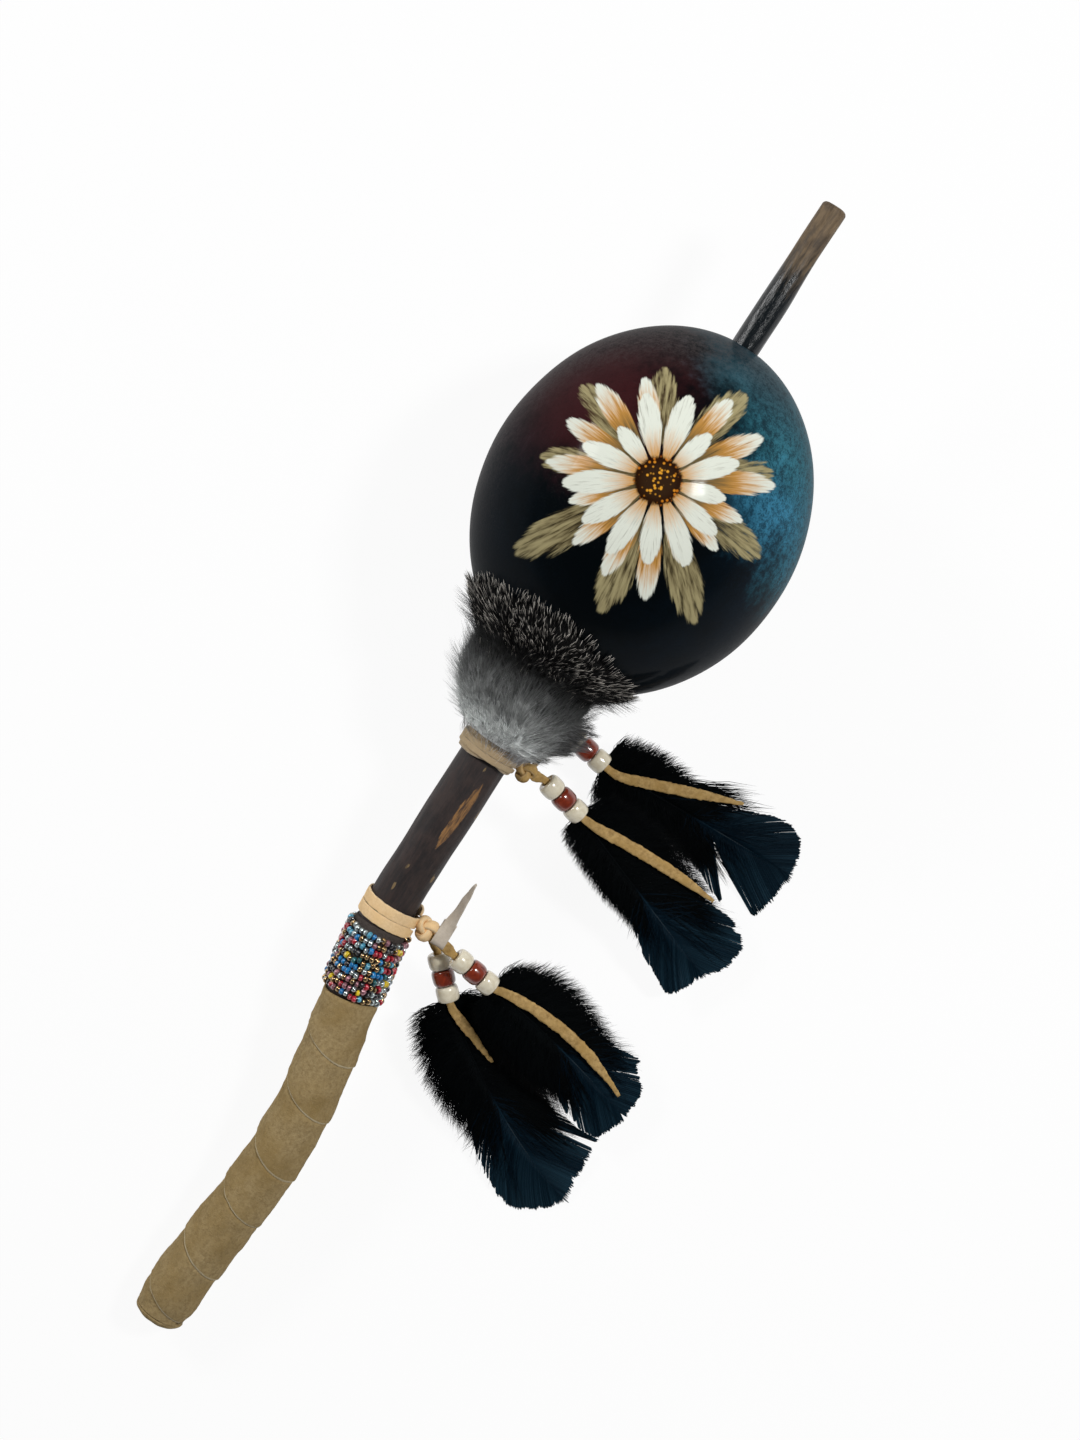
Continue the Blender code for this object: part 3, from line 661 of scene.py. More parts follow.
        front, front_share, front_hair = self.strokes(s, reach, turn, 13, 0.0, 0.08, 0.40, 0.47)
        front_paint = s.mix(s.span(front_share + front_hair * 0.5, 0.30, 0.80), self.ochre, self.cream)
        front_paint = s.mix(s.span(front_hair, 0.52, 0.78) * 0.45, front_paint, self.olive)
        paint = s.mix(front * facing * s.span(front_hair, 0.08, 0.30), paint, front_paint)

        dots = s.node("ShaderNodeTexVoronoi", inputs={"Vector": where, "Scale": 620.0})
        heart = s.span(self.heart_radius - reach + (sponge - 0.5) * 0.05, 0.0, 0.025) * facing
        heart_paint = s.mix(s.span(dots, 0.18, 0.42), self.amber, self.umber)
        heart_paint = s.mix(s.span(reach, self.heart_radius * 0.45, self.heart_radius),
                            heart_paint, self.ochre, "MULTIPLY")
        paint = s.mix(heart, paint, heart_paint)

        tooth = s.noise(where, 900.0, 3.0, 0.6)
        thick = front * front_hair * 0.5 + back * back_hair * 0.3 + leaf * leaf_hair * 0.3 + heart * 0.5
        height = thick * 0.6 + tooth * 0.35 + cloud * 0.5 + bristle * 0.25
        return s.done(Base_Color=paint, Roughness=0.50 + (sponge - 0.5) * 0.2,
                      Coat_Weight=0.08, Coat_Roughness=0.11, Specular_IOR_Level=0.01,
                      Normal=s.bump(height, 0.30, 0.0006))


@dataclass(frozen=True)
class Bark:
    """Dark bark of the handle, rubbed through in a streak, with a painted and a bare end at the tip."""

    middle: Place
    forward: Place
    dark: Colour = (0.0135, 0.0100, 0.0100)
    brown: Colour = (0.0380, 0.0235, 0.0200)
    wood: Colour = (0.300, 0.150, 0.050)
    fleck: Colour = (0.230, 0.155, 0.070)
    bare: Colour = (0.088, 0.057, 0.028)
    bare_pale: Colour = (0.190, 0.130, 0.070)
    paint: Colour = (0.0035, 0.0060, 0.0078)
    streak_from: float = -0.1150
    streak_to: float = -0.1460
    streak_side: float = -0.0040
    streak_half_width: float = 0.0021
    bare_from: float = 0.0930
    bare_to: float = 0.1180

    def make(self) -> Material:
        """Bark, worn wood and paint along the stick.

        Returns:
            The material.
        """
        s = Shader("bark_stick")
        where = s.place()
        here = s.vector("SUBTRACT", where, self.middle)
        along = s.dot(here, np.array(self.forward))
        side = s.dot(where, np.array((0.0, 1.0, 0.0)))
        top = s.dot(here, UP)
        grain = s.noise(s.joined(along * 0.12, side, top), 900.0, 5.0, 0.65)
        lump = s.noise(where, 130.0, 4.0, 0.6)
        bark = s.mix(s.span(grain * 0.55 + lump * 0.45, 0.36, 0.66), self.dark, self.brown)

        spots = s.noise(s.joined(along * 0.55, side, top), 150.0, 2.0, 0.5)
        bark = s.mix(s.span(spots + (grain - 0.5) * 0.15, 0.725, 0.755) * 0.85, bark, self.fleck)

        middle = (self.streak_from + self.streak_to) / 2
        half = (self.streak_from - self.streak_to) / 2
        ends = 1.0 - abs((along - middle) / half) ** 2.0
        drift = (grain - 0.5) * 0.0030 + (along - middle) * 0.06
        half_width = s.math("MAXIMUM", ends, 0.0) ** 0.6 * self.streak_half_width
        room = half_width - abs(side - self.streak_side + drift)
        streak = s.span(room, 0.0, 0.0005) * s.span(top - along * 0.137, -0.002, 0.002)
        worn = s.mix(s.span(grain, 0.38, 0.68), self.wood, self.brown)
        bark = s.mix(streak, bark, worn)

        wood = s.mix(s.span(grain, 0.30, 0.72), self.bare, self.bare_pale)
        wood = s.mix(s.span(lump, 0.45, 0.7) * 0.5, wood, self.dark)
        bare = s.span(along + (grain - 0.5) * 0.030, self.bare_from, self.bare_to)
        chips = s.span(grain, 0.66, 0.72) * s.span(along, 0.072, 0.080)
        tip = s.mix(s.math("MAXIMUM", bare, chips * 0.7), self.paint, wood)
        colour = s.mix(s.span(along, 0.0, 0.01), bark, tip)
        painted = s.span(along, 0.0, 0.01) * (1.0 - bare)
        height = grain * 0.6 + lump * 0.4 - streak * 0.3
        return s.done(Base_Color=colour, Roughness=0.62 - painted * 0.38 + (grain - 0.5) * 0.2,
                      Specular_IOR_Level=0.4, Normal=s.bump(height, 0.55, 0.0007))


@dataclass(frozen=True)
class Suede:
    """Napped leather: mottled colour, short fibres and a rubbed edge."""

    name: str
    ground: Colour
    pale: Colour
    stain: Colour
    edge: Colour
    stain_share: float = 0.5
    patch_scale: float = 75.0
    nap_scale: float = 900.0

    def make(self) -> Material:
        """The leather; its edge attribute is 1 at a cut edge.

        Returns:
            The material.
        """
        s = Shader(self.name)
        where = s.place()
        patch = s.noise(where, self.patch_scale, 4.0, 0.65)
        nap = s.noise(where, self.nap_scale, 4.0, 0.7)
        fibre = s.noise(s.stretched(where, (1.0, 0.35, 1.0)), 2600.0, 2.0, 0.6)
        colour = s.mix(s.span(patch, 0.32, 0.68), self.ground, self.pale)
        colour = s.mix(s.span(nap * 0.6 + patch * 0.4, 0.42, 0.66) * self.stain_share, colour, self.stain)
        colour = s.mix(s.span(fibre, 0.50, 0.75) * 0.35, colour, self.pale)
        rim = s.layer("edge")
        colour = s.mix(s.span(rim + (nap - 0.5) * 0.3, 0.45, 0.9), colour, self.edge)
        height = nap * 0.7 + fibre * 0.5
        return s.done(Base_Color=colour, Roughness=0.95, Specular_IOR_Level=0.15,
                      Normal=s.bump(height, 0.6, 0.0006))


@dataclass(frozen=True)
class Pearl:
    """Moulded pony bead, glossy and a little milky."""

    name: str
    colour: Colour
    deep: Colour

    def make(self) -> Material:
        """The bead's plastic.

        Returns:
            The material.
        """
        s = Shader(self.name)
        where = s.place()
        swirl = s.noise(where, 260.0, 3.0, 0.6, 1.2)
        fine = s.noise(where, 1500.0, 2.0, 0.5)
        colour = s.mix(s.span(swirl, 0.35, 0.72), self.colour, self.deep)
        return s.done(Base_Color=colour, Roughness=0.18 + fine * 0.08,
                      Coat_Weight=0.9, Coat_Roughness=0.04, Specular_IOR_Level=0.5,
                      Normal=s.bump(swirl, 0.08, 0.0003))


@dataclass(frozen=True)
class Glass:
    """Seed bead glass whose colour and metal lining come with each bead."""

    def make(self) -> Material:
        """The beads' glass.

        Returns:
            The material.
        """
        s = Shader("seed_bead_glass")
        fine = s.noise(s.place(), 1800.0, 2.0, 0.5)
        colour = s.mix(s.span(fine, 0.35, 0.8) * 0.5, s.layer("tint", 0), (0.02, 0.02, 0.02))
        return s.done(Base_Color=colour, Metallic=s.layer("lining"), Roughness=0.08 + fine * 0.14,
                      Coat_Weight=1.0, Coat_Roughness=0.03, Specular_IOR_Level=0.6)


@dataclass(frozen=True)
class Hair:
    """Fur whose colour is painted along each hair."""

    name: str
    roughness: float = 0.55

    def make(self) -> Material:
        """The hair.

        Returns:
            The material.
        """
        s = Shader(self.name)
        tuft = s.noise(s.place(), 700.0, 2.0, 0.6)
        shade = s.mix(s.span(tuft, 0.3, 0.75) * 0.22, s.layer("tint", 0), (0.35, 0.35, 0.36), "MULTIPLY")
        return s.done(Base_Color=shade, Roughness=self.roughness, Specular_IOR_Level=0.12)


@dataclass(frozen=True)
class Plume:
    """Black feather: sooty down, and a firm vane with a cold sheen painted into its colour in streaks, and
    a highlight painted along the quill.
    """

    soot: Colour = (0.0010, 0.0018, 0.0022)
    vane: Colour = (0.0019, 0.0088, 0.0165)
    painted_sheen: Colour = (0.0160, 0.0450, 0.0680)
    # Colour of the highlight painted along the quill
    quill: Colour = (0.0460, 0.0560, 0.0620)

    def make(self) -> Material:
        """The feather; its firm attribute is 1 on the vane and 2 on the highlight painted along the quill,
        and its sheen share places the painted sheen.

        Returns:
            The material.
        """
        s = Shader("black_plume")
        firm = s.layer("firm")
        gloss = s.layer("gloss")
        colour = s.mix(s.span(firm, 0.0, 1.0), self.soot, self.vane)
        # Painted sheen: a lighter cold blue where the sheen share is high
        colour = s.mix(gloss * s.span(firm, 0.2, 1.0), colour, self.painted_sheen)
        # Painted highlight: the pale line along the quill
        colour = s.mix(s.span(firm, 1.2, 2.0), colour, self.quill)
        return s.done(Base_Color=colour, Roughness=0.62 - s.span(firm, 0.2, 1.0) * 0.16,
                      Specular_IOR_Level=0.04)


@dataclass(frozen=True)
class Plain:
    """A matt stuff with lumps of two colours: putty, cork, seed husk or paper."""

    name: str
    colour: Colour
    other: Colour
    scale: float
    roughness: float = 0.8
    relief: float = 0.0003

    def make(self) -> Material:
        """The stuff.

        Returns:
            The material.
        """
        s = Shader(self.name)
        where = s.place()
        lump = s.noise(where, self.scale, 4.0, 0.65)
        fine = s.noise(where, self.scale * 6.0, 2.0, 0.6)
        colour = s.mix(s.span(lump * 0.7 + fine * 0.3, 0.35, 0.68), self.colour, self.other)
        return s.done(Base_Color=colour, Roughness=self.roughness, Specular_IOR_Level=0.3,
                      Normal=s.bump(lump + fine * 0.4, 0.4, self.relief))


HEM_HIDE = Suede("hem_hide", (0.400, 0.298, 0.178), (0.480, 0.380, 0.245), (0.290, 0.205, 0.118),
                 (0.450, 0.365, 0.265), 0.40)
DROP_LEATHER = Suede("drop_leather", (0.420, 0.265, 0.090), (0.580, 0.395, 0.165), (0.230, 0.130, 0.042),
                     (0.500, 0.345, 0.160), 0.75, 170.0, 480.0)
TIE_LEATHER = Suede("tie_leather", (0.86, 0.590, 0.300), (0.93, 0.680, 0.390), (0.66, 0.420, 0.195),
                    (0.80, 0.600, 0.360), 0.40, 110.0)
BACKING_HIDE = Suede("backing_hide", (0.050, 0.040, 0.036), (0.085, 0.070, 0.062), (0.020, 0.016, 0.014),
                     (0.090, 0.075, 0.065), 0.50)
GRIP_SUEDE = Suede("grip_suede", (0.285, 0.196, 0.078), (0.430, 0.322, 0.162), (0.190, 0.125, 0.051),
                   (0.540, 0.450, 0.285), 0.62, 48.0, 700.0)


# Frame of the stick


@dataclass
class StickLine:
    """Centre line of the stick: straight through the gourd, then crooked towards the drops."""

    crook_start: float = 0.1618
    crook_crest: float = 0.2793
    crook_depth: float = 0.0146
    crook_end: float = 0.0095
    butt: float = 0.3600

    def __post_init__(self) -> None:
        """Take the gourd's centre and the stick's direction from the pellets' axis."""
        axis = joint("pellet_1_roll")
        self.middle = np.array(axis["pos_m"], float)
        self.forward = unit(np.array(axis["axis"], float))
        self.side = np.array((0.0, 1.0, 0.0))
        self.up = np.cross(self.forward, self.side)

    def crook(self, along: Array) -> Array:
        """Sideways offset: a squared sine up to the crest, then a squared cosine down to the butt.

        Args:
            along: distances from the gourd's centre towards the tip.

        Returns:
            Offsets to the left.
        """
        down = -along
        rise = np.clip((down - self.crook_start) / (self.crook_crest - self.crook_start), 0.0, 1.0)
        fall = np.clip((down - self.crook_crest) / (self.butt - self.crook_crest), 0.0, 1.0)
        before = -self.crook_depth * np.sin(math.pi / 2 * rise) ** 2
        slack = self.crook_depth - self.crook_end
        after = -self.crook_end - slack * np.cos(math.pi / 2 * fall) ** 2
        return np.where(down < self.crook_crest, before, after)

    def axes(self, along: Array) -> tuple[Array, Array, Array]:
        """The stick's own axes along its line, by the slope of the crook.

        Args:
            along: distances from the gourd's centre towards the tip.

        Returns:
            Centres, directions and left sides.
        """
        step = 0.0001
        slope = ((self.crook(along + step) - self.crook(along - step)) / (2 * step))[..., None]
        centre = self.middle + along[..., None] * self.forward + self.crook(along)[..., None] * self.side
        heading = unit(self.forward + slope * self.side)
        left = unit(self.side - slope * self.forward)
        return centre, heading, left

    def round(self, along: Array, angle: Array, radius: Array) -> Array:
        """Points round the centre line: the centre and a radius times the spoke at an angle.

        Args:
            along: distances from the gourd's centre towards the tip.
            angle: turns in radians; 0 is the left side and a quarter turn the top.
            radius: distances from the centre line.

        Returns:
            Points, with a last axis of 3.
        """
        along, angle, radius = np.broadcast_arrays(along, angle, radius)
        centre, _, left = self.axes(along)
        spoke = np.cos(angle)[..., None] * left + np.sin(angle)[..., None] * self.up
        return centre + radius[..., None] * spoke


def joint(name: str) -> dict:
    """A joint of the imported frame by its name."""
    return next(item for item in frame["joints"] if item["name"] == name)


# Gourd and stick


@dataclass
class Gourd:
    """Hollow gourd round the stick; sizes along it count from its widest section."""

    line: StickLine
    radius: float = 0.0605
    top_length: float = 0.0715
    base_length: float = 0.0700
    wall: float = 0.0040
    neck_radius: float = 0.0170
    neck_end: float = 0.0830
    neck_blend: float = 6.0
    hole_radius: float = 0.0070
    facets: int = 24
    columns: int = 256
    unevenness: float = 0.00012

    def radius_at(self, along: Array, inset: float = 0.0) -> Array:
        """Radius of the skin: an ellipse, blended with the neck below the widest section.

        Args:
            along: distances from the widest section towards the tip.
            inset: depth below the skin.

        Returns:
            Radii.
        """
        half = np.where(along > 0, self.top_length, self.base_length) - inset
        swell = np.sqrt(np.maximum(0.0, 1 - (along / half) ** 2))
        body = (self.radius - inset) * swell
        power = self.neck_blend
        neck = (body ** power + (self.neck_radius - inset) ** power) ** (1 / power)
        return np.where(along > 0, body, neck)

    def profile(self, inset: float, step: float) -> Array:
        """Section from the top hole to the neck's end.

        Args:
            inset: depth below the skin.
            step: distance between points.

        Returns:
            Even points (along, radius).
        """
        top = self.top_length - inset
        hole = math.asin(self.hole_radius / (self.radius - inset))
        crown = top * np.cos(np.linspace(hole, math.pi / 2, 600))
        along = np.concatenate([crown, -np.linspace(0.0, self.neck_end, 900)[1:]])
        return evenly(np.stack([along, self.radius_at(along, inset)], axis=1), step)

    def build(self) -> None:
        """The shell: its outer and inner profiles as one loop, turned round the stick.

        The radius is drawn in to the solid's flats, so that it stands on the table, and varies by
        a fraction of a millimetre as a grown gourd does.
        """
        outer = self.profile(0.0, 0.0011)
        inner = self.profile(self.wall, 0.0030)[::-1]
        loop = np.concatenate([outer, inner])
        flat = math.cos(math.pi / self.facets)
        angle = circle(self.columns)[None]
        rings = self.line.round(loop[:, :1], angle, loop[:, 1:] * flat)
        spoke = unit(rings - (self.line.middle + loop[:, :1, None] * self.line.forward))
        rings = rings + self.unevenness * ripple(rings, 0.045, 3)[..., None] * spoke
        paint = GourdPaint(tuple(self.line.middle), self.radius).make()
        Surface.swept(rings, loop=True).piece("painted_gourd", paint, "rattle", "gourd_skin",
                                              ["gourd_shell"])


@dataclass
class Stick:
    """The stick from its sawn tip to the butt under the grip."""

    line: StickLine
    tip: float = 0.1309
    stations: Floats = (-0.3600, -0.0700, 0.0675, 0.1012, 0.1309)
    radii: Floats = (0.0097, 0.0097, 0.0052, 0.00505, 0.0049)
    chamfer: float = 0.0017
    step: float = 0.0012
    columns: int = 56
    butt_taper: float = 0.0016
    butt_taper_length: float = 0.010

    def build(self) -> None:
        """The stick's skin: circles along its line, rippled lengthways like bark.

        The ripple is a random field squeezed along the stick, and the two ends are chamfered by a
        quarter circle.
        """
        count = int((self.tip + self.line.butt) / self.step)
        shaft = np.linspace(-self.line.butt, self.tip - 2 * self.chamfer, count)
        along = np.concatenate([shaft, self.tip - 2 * self.chamfer * np.linspace(1.0, 0.0, 13)[1:] ** 2])
        radius = np.interp(along, self.stations, self.radii)
        end = np.minimum(along + self.line.butt, self.tip - along)
        turn = np.clip(end / self.chamfer, 0.0, 1.0)
        radius = radius - self.chamfer * (1 - np.sqrt(1 - (1 - turn) ** 2))
        taper = ease(-along, self.line.butt - self.butt_taper_length, self.line.butt)
        radius = radius - self.butt_taper * taper ** 2
        angle = circle(self.columns)[None]
        flat = np.stack(np.broadcast_arrays(along[:, None] * 0.14, radius[:, None] * np.cos(angle),
                                            radius[:, None] * np.sin(angle)), axis=-1)
        rough = 0.00010 * ripple(flat, 0.0035, 5) + 0.00018 * ripple(flat, 0.016, 6)
        swell = 0.00016 * ripple(flat * np.array((4.0, 0.3, 0.3)), 0.030, 7)
        rings = self.line.round(along[:, None], angle, radius[:, None] + rough + swell)
        finish = Bark(tuple(self.line.middle), tuple(self.line.forward)).make()
        Surface.swept(rings).piece("bark_stick", finish, "rattle", "bark", ["handle_stick"])


# Fur collar


@dataclass
class FurCollar:
    """Furred hide over the gourd's neck, and the bare hem below it.

    Places are distances below the gourd's widest section. Turns are degrees round the stick: 0 is
    its left side, 90 its top and 180 the drops' side.
    """

    line: StickLine
    gourd: Gourd
    bottom: float = 0.0995
    hem_length: float = 0.0090
    hide: float = 0.0009
    stick_radius: float = 0.0097
    edge_turns: Floats = (0.0, 65.0, 90.0, 115.0, 136.0, 180.0, 270.0, 360.0)
    edge_places: Floats = (0.0570, 0.0470, 0.0450, 0.0505, 0.0545, 0.0620, 0.0570, 0.0570)
    coat_places: Floats = (0.0440, 0.0500, 0.0550, 0.0600, 0.0650, 0.0700, 0.0800, 0.0850,
                                      0.0900, 0.0950, 0.0995)
    coat_left: Floats = (0.0490, 0.0445, 0.0400, 0.0350, 0.0308, 0.0282, 0.0270, 0.0250,
                                    0.0222, 0.0188, 0.0145)
    coat_right: Floats = (0.0485, 0.0440, 0.0390, 0.0330, 0.0268, 0.0218, 0.0215, 0.0220,
                                     0.0215, 0.0195, 0.0150)
    shade_places: Floats = (0.0600, 0.0680, 0.0748, 0.0820, 0.0880, 0.0920, 0.0965, 0.0995)
    shades: Floats = (0.014, 0.060, 0.150, 0.290, 0.500, 0.780, 0.960, 0.980)
    under_share: float = 0.80
    guard_hairs: int = 15000
    soft_hairs: int = 13500
    wisps: int = 12
    hairs_in_wisp: int = 44
    hem_hairs: int = 2600
    white_hairs: int = 26
    hair_points: int = 6

    def seat(self, down: Array) -> Array:
        """Inner radius of the hide: the gourd's skin and a gap, drawn in to the stick below the neck.

        Args:
            down: places.

        Returns:
            Radii.
        """
        neck = self.gourd.radius_at(-np.minimum(down, self.gourd.neck_end)) + 2 * GAP
        cone = self.gourd.neck_end + GAP
        fall = np.clip((down - cone) / (self.bottom - cone), 0.0, 1.0)
        return neck + (self.stick_radius + GAP - neck) * fall

    def edge(self, angle: Array) -> Array:
        """Place of the hide's upper edge, which reaches highest on top."""
        return np.interp(np.degrees(angle) % 360.0, self.edge_turns, self.edge_places)

    def skin(self, down: Array, angle: Array) -> Array:
        """Outer radius of the hide, which is pared thin at its upper edge."""
        return self.seat(down) + self.hide * ease(down - self.edge(angle), 0.0, 0.004)

    def under(self, down: Array, angle: Array) -> Array:
        """Outer radius of the underfur: profiles of the left and the drops' side, mixed by the turn.

        The two profiles mix by the cosine of the turn, and the fur thins out towards the upper edge.

        Args:
            down: places.
            angle: turns in radians.

        Returns:
            Radii.
        """
        left = np.interp(down, self.coat_places, self.coat_left)
        right = np.interp(down, self.coat_places, self.coat_right)
        full = right + (left - right) * (0.5 + 0.5 * np.cos(angle))
        skin = self.skin(down, angle)
        depth = np.maximum(full - skin, 0.0004) * ease(down - self.edge(angle), 0.0, 0.010)
        return skin + self.under_share * depth

    def tint(self, down: Array, angle: Array) -> Array:
        """Colour of the fur: black above, grey below, pale at the hem, and darker near the drops.

        Args:
            down: places.
            angle: turns in radians.

        Returns:
            Colours with alpha.
        """
        down, angle = np.broadcast_arrays(down, angle)
        shade = np.interp(down + 0.0015 * np.cos(3 * angle + 1.0), self.shade_places, self.shades)
        shade = shade * (0.56 + 0.48 * (0.5 + 0.5 * np.cos(angle - 0.8)))
        return with_alpha(shade[..., None] * np.array((0.99, 1.02, 1.00)))

    def build(self) -> None:
        """Hide, hem, underfur and the hairs of each kind."""
        self.build_underfur()
        self.build_hem()
        self.build_guard_hairs()
        self.build_soft_hairs()
        self.build_stray_hairs()
        self.build_hem_hairs()

    def build_underfur(self) -> None:
        """The hide with its underfur: rings from the upper edge to the hem, and back inside.

        Lumps of half a millimetre move the outer face.
        """
        angle = circle(160)[None]
        share = np.linspace(0.0, 1.0, 64)[:, None]
        down = self.edge(angle) + (self.bottom - self.edge(angle)) * share
        outer = self.under(down, angle)
        lump = ripple(self.line.round(-down, angle, outer), 0.006, 21) * ease(share, 0.1, 0.3)
        rings = np.concatenate([self.line.round(-down, angle, outer + 0.0005 * lump),
                                self.line.round(-down, angle, self.seat(down))[::-1]])
        tint = self.tint(np.concatenate([down, down[::-1]]), angle)
        fur = Surface.swept(rings, loop=True, layers={"tint": tint})
        fur.piece("collar_underfur", Hair("underfur_down", 0.8).make(), "rattle", "fur", ["fur_collar"])

    def build_hem(self) -> None:
        """The bare hem: a thin sleeve on the stick, whose cut edge wanders."""
        down = np.linspace(self.bottom - 0.004, self.bottom + self.hem_length, 22)
        places = np.concatenate([down, down[::-1]])[:, None]
        over = np.repeat((1.0, 0.0), len(down))[:, None]
        rings = self.line.round(-places, circle(120)[None], self.seat(places) + self.hide * over)
        spokes = unit(rings - self.line.axes(-places[:, 0])[0][:, None])
        low = ease(places, self.bottom, self.bottom + self.hem_length)
        wander = 0.0008 * low * ripple(rings, 0.020, 12)
        lift = over * (0.0003 * low * (1 + ripple(rings, 0.009, 13)) + 0.0001 * ripple(rings, 0.003, 14))
        rings = rings + wander[..., None] * self.line.forward + lift[..., None] * spokes
        rim = ease(places, self.bottom + self.hem_length - 0.0014, self.bottom + self.hem_length)
        edge = np.array(np.broadcast_to(rim, rings.shape[:2]))
        hem = Surface.swept(rings, loop=True, layers={"edge": edge})
        hem.piece("collar_hem", HEM_HIDE.make(), "rattle", "fur")

    def scatter(self, draw: np.random.Generator, count: int, low: float,
                high: float) -> tuple[Array, Array]:
        """Random turns and places, kept where the hide is.

        Args:
            draw: source of the random draws.
            count: how many are drawn.
            low: least place.
            high: greatest place.

        Returns:
            Turns in radians, and places.
        """
        angle = draw.uniform(0.0, 2 * math.pi, count)
        down = draw.uniform(low, high, count)
        keep = down > self.edge(angle) + 0.0003
        return angle[keep], down[keep]

    def roots(self, angle: Array, down: Array) -> tuple[Array, Array, Array, Array]:
        """Places on the underfur with the directions there.

        Args:
            angle: turns in radians.
            down: places.

        Returns:
            Points, directions up the slope to the gourd, outward directions, and directions across.
        """
        step = 0.0005
        point = self.line.round(-down, angle, self.under(down, angle) - 0.0004)
        slope = (self.under(down + step, angle) - self.under(down - step, angle)) / (2 * step)
        slope = np.clip(slope, -1.2, 0.2)[:, None]
        spoke = np.cos(angle)[:, None] * self.line.side + np.sin(angle)[:, None] * self.line.up
        uphill = unit(self.line.forward - slope * spoke)
        outward = unit(spoke + slope * self.line.forward)
        return point, uphill, outward, np.cross(uphill, outward)

    @property
    def shares(self) -> Array:
        """Shares of a hair's length at its points, shape (1, points)."""
        return np.linspace(0.0, 1.0, self.hair_points)[None]

    def plant(self, name: str, finish: Material, lines: Array, width: Array, facing: Array,
              tint: Array) -> None:
        """Put hairs as thick as they are wide into the scene."""
        hairs = Surface.strands(lines, width, width, facing, {"tint": tint})
        hairs.piece(f"collar_{name}", finish, "rattle", "fur")

    def bowed_lines(self, start: Array, goal: Array, bow: Array) -> Array:
        """Centre lines of hairs that run straight to a goal, plus a bow of half a sine.

        Args:
            start: roots, shape (hairs, 3).
            goal: tips, shape (hairs, 3).
            bow: offsets halfway, shape (hairs, 1, 3).

        Returns:
            Lines, shape (hairs, points, 3).
        """
        at = self.shares[..., None]
        return start[:, None] + (goal - start)[:, None] * at + np.sin(math.pi * at) * bow

    def hair_lines(self, root: tuple[Array, Array, Array, Array], length: Array, lean: Array,
                   lay: Array, sway: Array) -> Array:
        """Centre lines of hairs, each leaving at one angle and bending over to another.

        Step by step the direction turns from lean to lay over the fur and sways to the side; the
        points are the running sum of the steps.

        Args:
            root: points, directions along the fur, off it and across it.
            length: lengths of the hairs.
            lean: angles off the fur at the roots, in degrees.
            lay: angles off the fur at the tips, in degrees.
            sway: sideways angles at the tips, in radians.

        Returns:
            Lines, shape (hairs, points, 3).
        """
        point, uphill, outward, across = (part[:, None] for part in root)
        share = self.shares
        bend = np.radians(lean[:, None] + (lay - lean)[:, None] * share)[..., None]
        turn = (sway[:, None] * (0.4 + 0.6 * share))[..., None]
        step = unit(np.cos(bend) * uphill + np.sin(bend) * outward + np.sin(turn) * across)
        step = step * (length[:, None] / (self.hair_points - 1))[..., None]
        return point + np.cumsum(step, axis=1) - step[:, :1]

    def build_guard_hairs(self) -> None:
        """Stiff dark hairs with pale tips on the upper half, lying towards the gourd."""
        draw = np.random.default_rng(31)
        angle, down = self.scatter(draw, self.guard_hairs, 0.0450, 0.0790)
        keep = draw.random(len(down)) > ease(down, 0.0610, 0.0790)
        angle, down = angle[keep], down[keep]
        root = self.roots(angle, down)
        count = len(down)
        sway = 0.30 * ripple(root[0], 0.012, 32) + draw.normal(0.0, 0.15, count)
        lift = 4.0 * ripple(root[0], 0.007, 33)
        length = draw.uniform(0.0055, 0.0088, count)
        lean = draw.uniform(12.0, 34.0, count) + lift
        lay = draw.uniform(4.0, 22.0, count) + lift
        lines = self.hair_lines(root, length, lean, lay, sway)
        at = self.shares
        width = draw.uniform(0.00008, 0.00015, count)[:, None] * (1.0 - 0.55 * at ** 2)
        chance = 0.47 - 0.36 * ease(down, 0.0590, 0.0720)
        pale = (draw.random(count) < chance)[:, None] * ease(at, 0.40, 0.78)
        bright = draw.uniform(0.3, 2.0, count)[:, None, None]
        dark = np.array((0.0045, 0.0044, 0.0044))
        tip = np.array((0.600, 0.565, 0.510)) * bright
        tint = with_alpha(dark + (tip - dark) * pale[..., None])
        self.plant("guard_hairs", Hair("guard_hair", 0.5).make(), lines, width, root[2], tint)

    def build_soft_hairs(self) -> None:
        """Soft grey hairs on the lower half, bending to the gourd."""
        draw = np.random.default_rng(41)
        angle, down = self.scatter(draw, self.soft_hairs, 0.0600, self.bottom - 0.0003)
        root = self.roots(angle, down)
        count = len(down)
        sway = 0.30 * ripple(root[0], 0.014, 42) + draw.normal(0.0, 0.14, count)
        length = draw.uniform(0.0060, 0.0098, count) * (1.0 - 0.40 * ease(down, 0.0900, self.bottom))
        wild = 1.0 * (draw.random(count) < 0.25)
        lean = draw.uniform(18.0, 46.0, count) + 20.0 * wild
        lay = draw.uniform(2.0, 18.0, count) + 26.0 * wild
        lines = self.hair_lines(root, length * (1 + 0.35 * wild), lean, lay, sway * (1 + wild))
        at = self.shares
        width = (draw.uniform(0.00008, 0.00015, count) * (1 - 0.4 * wild))[:, None] * (1.0 - 0.8 * at)
        place = -(lines - self.line.middle) @ self.line.forward
        lock = 1.0 + 0.30 * np.clip(ripple(root[0] * np.array((0.45, 1.0, 1.0)), 0.0030, 43), -1.6, 1.6)
        light = (draw.uniform(0.65, 1.35, count) * lock)[:, None] * (0.80 + 0.45 * at)
        colour = self.tint(place, angle[:, None]) * light[..., None]
        finish = Hair("soft_hair", 0.6).make()
        for name, half in (("top", angle < math.pi), ("under", angle >= math.pi)):
            self.plant(f"soft_hairs_{name}", finish, lines[half], width[half], root[2][half], colour[half])

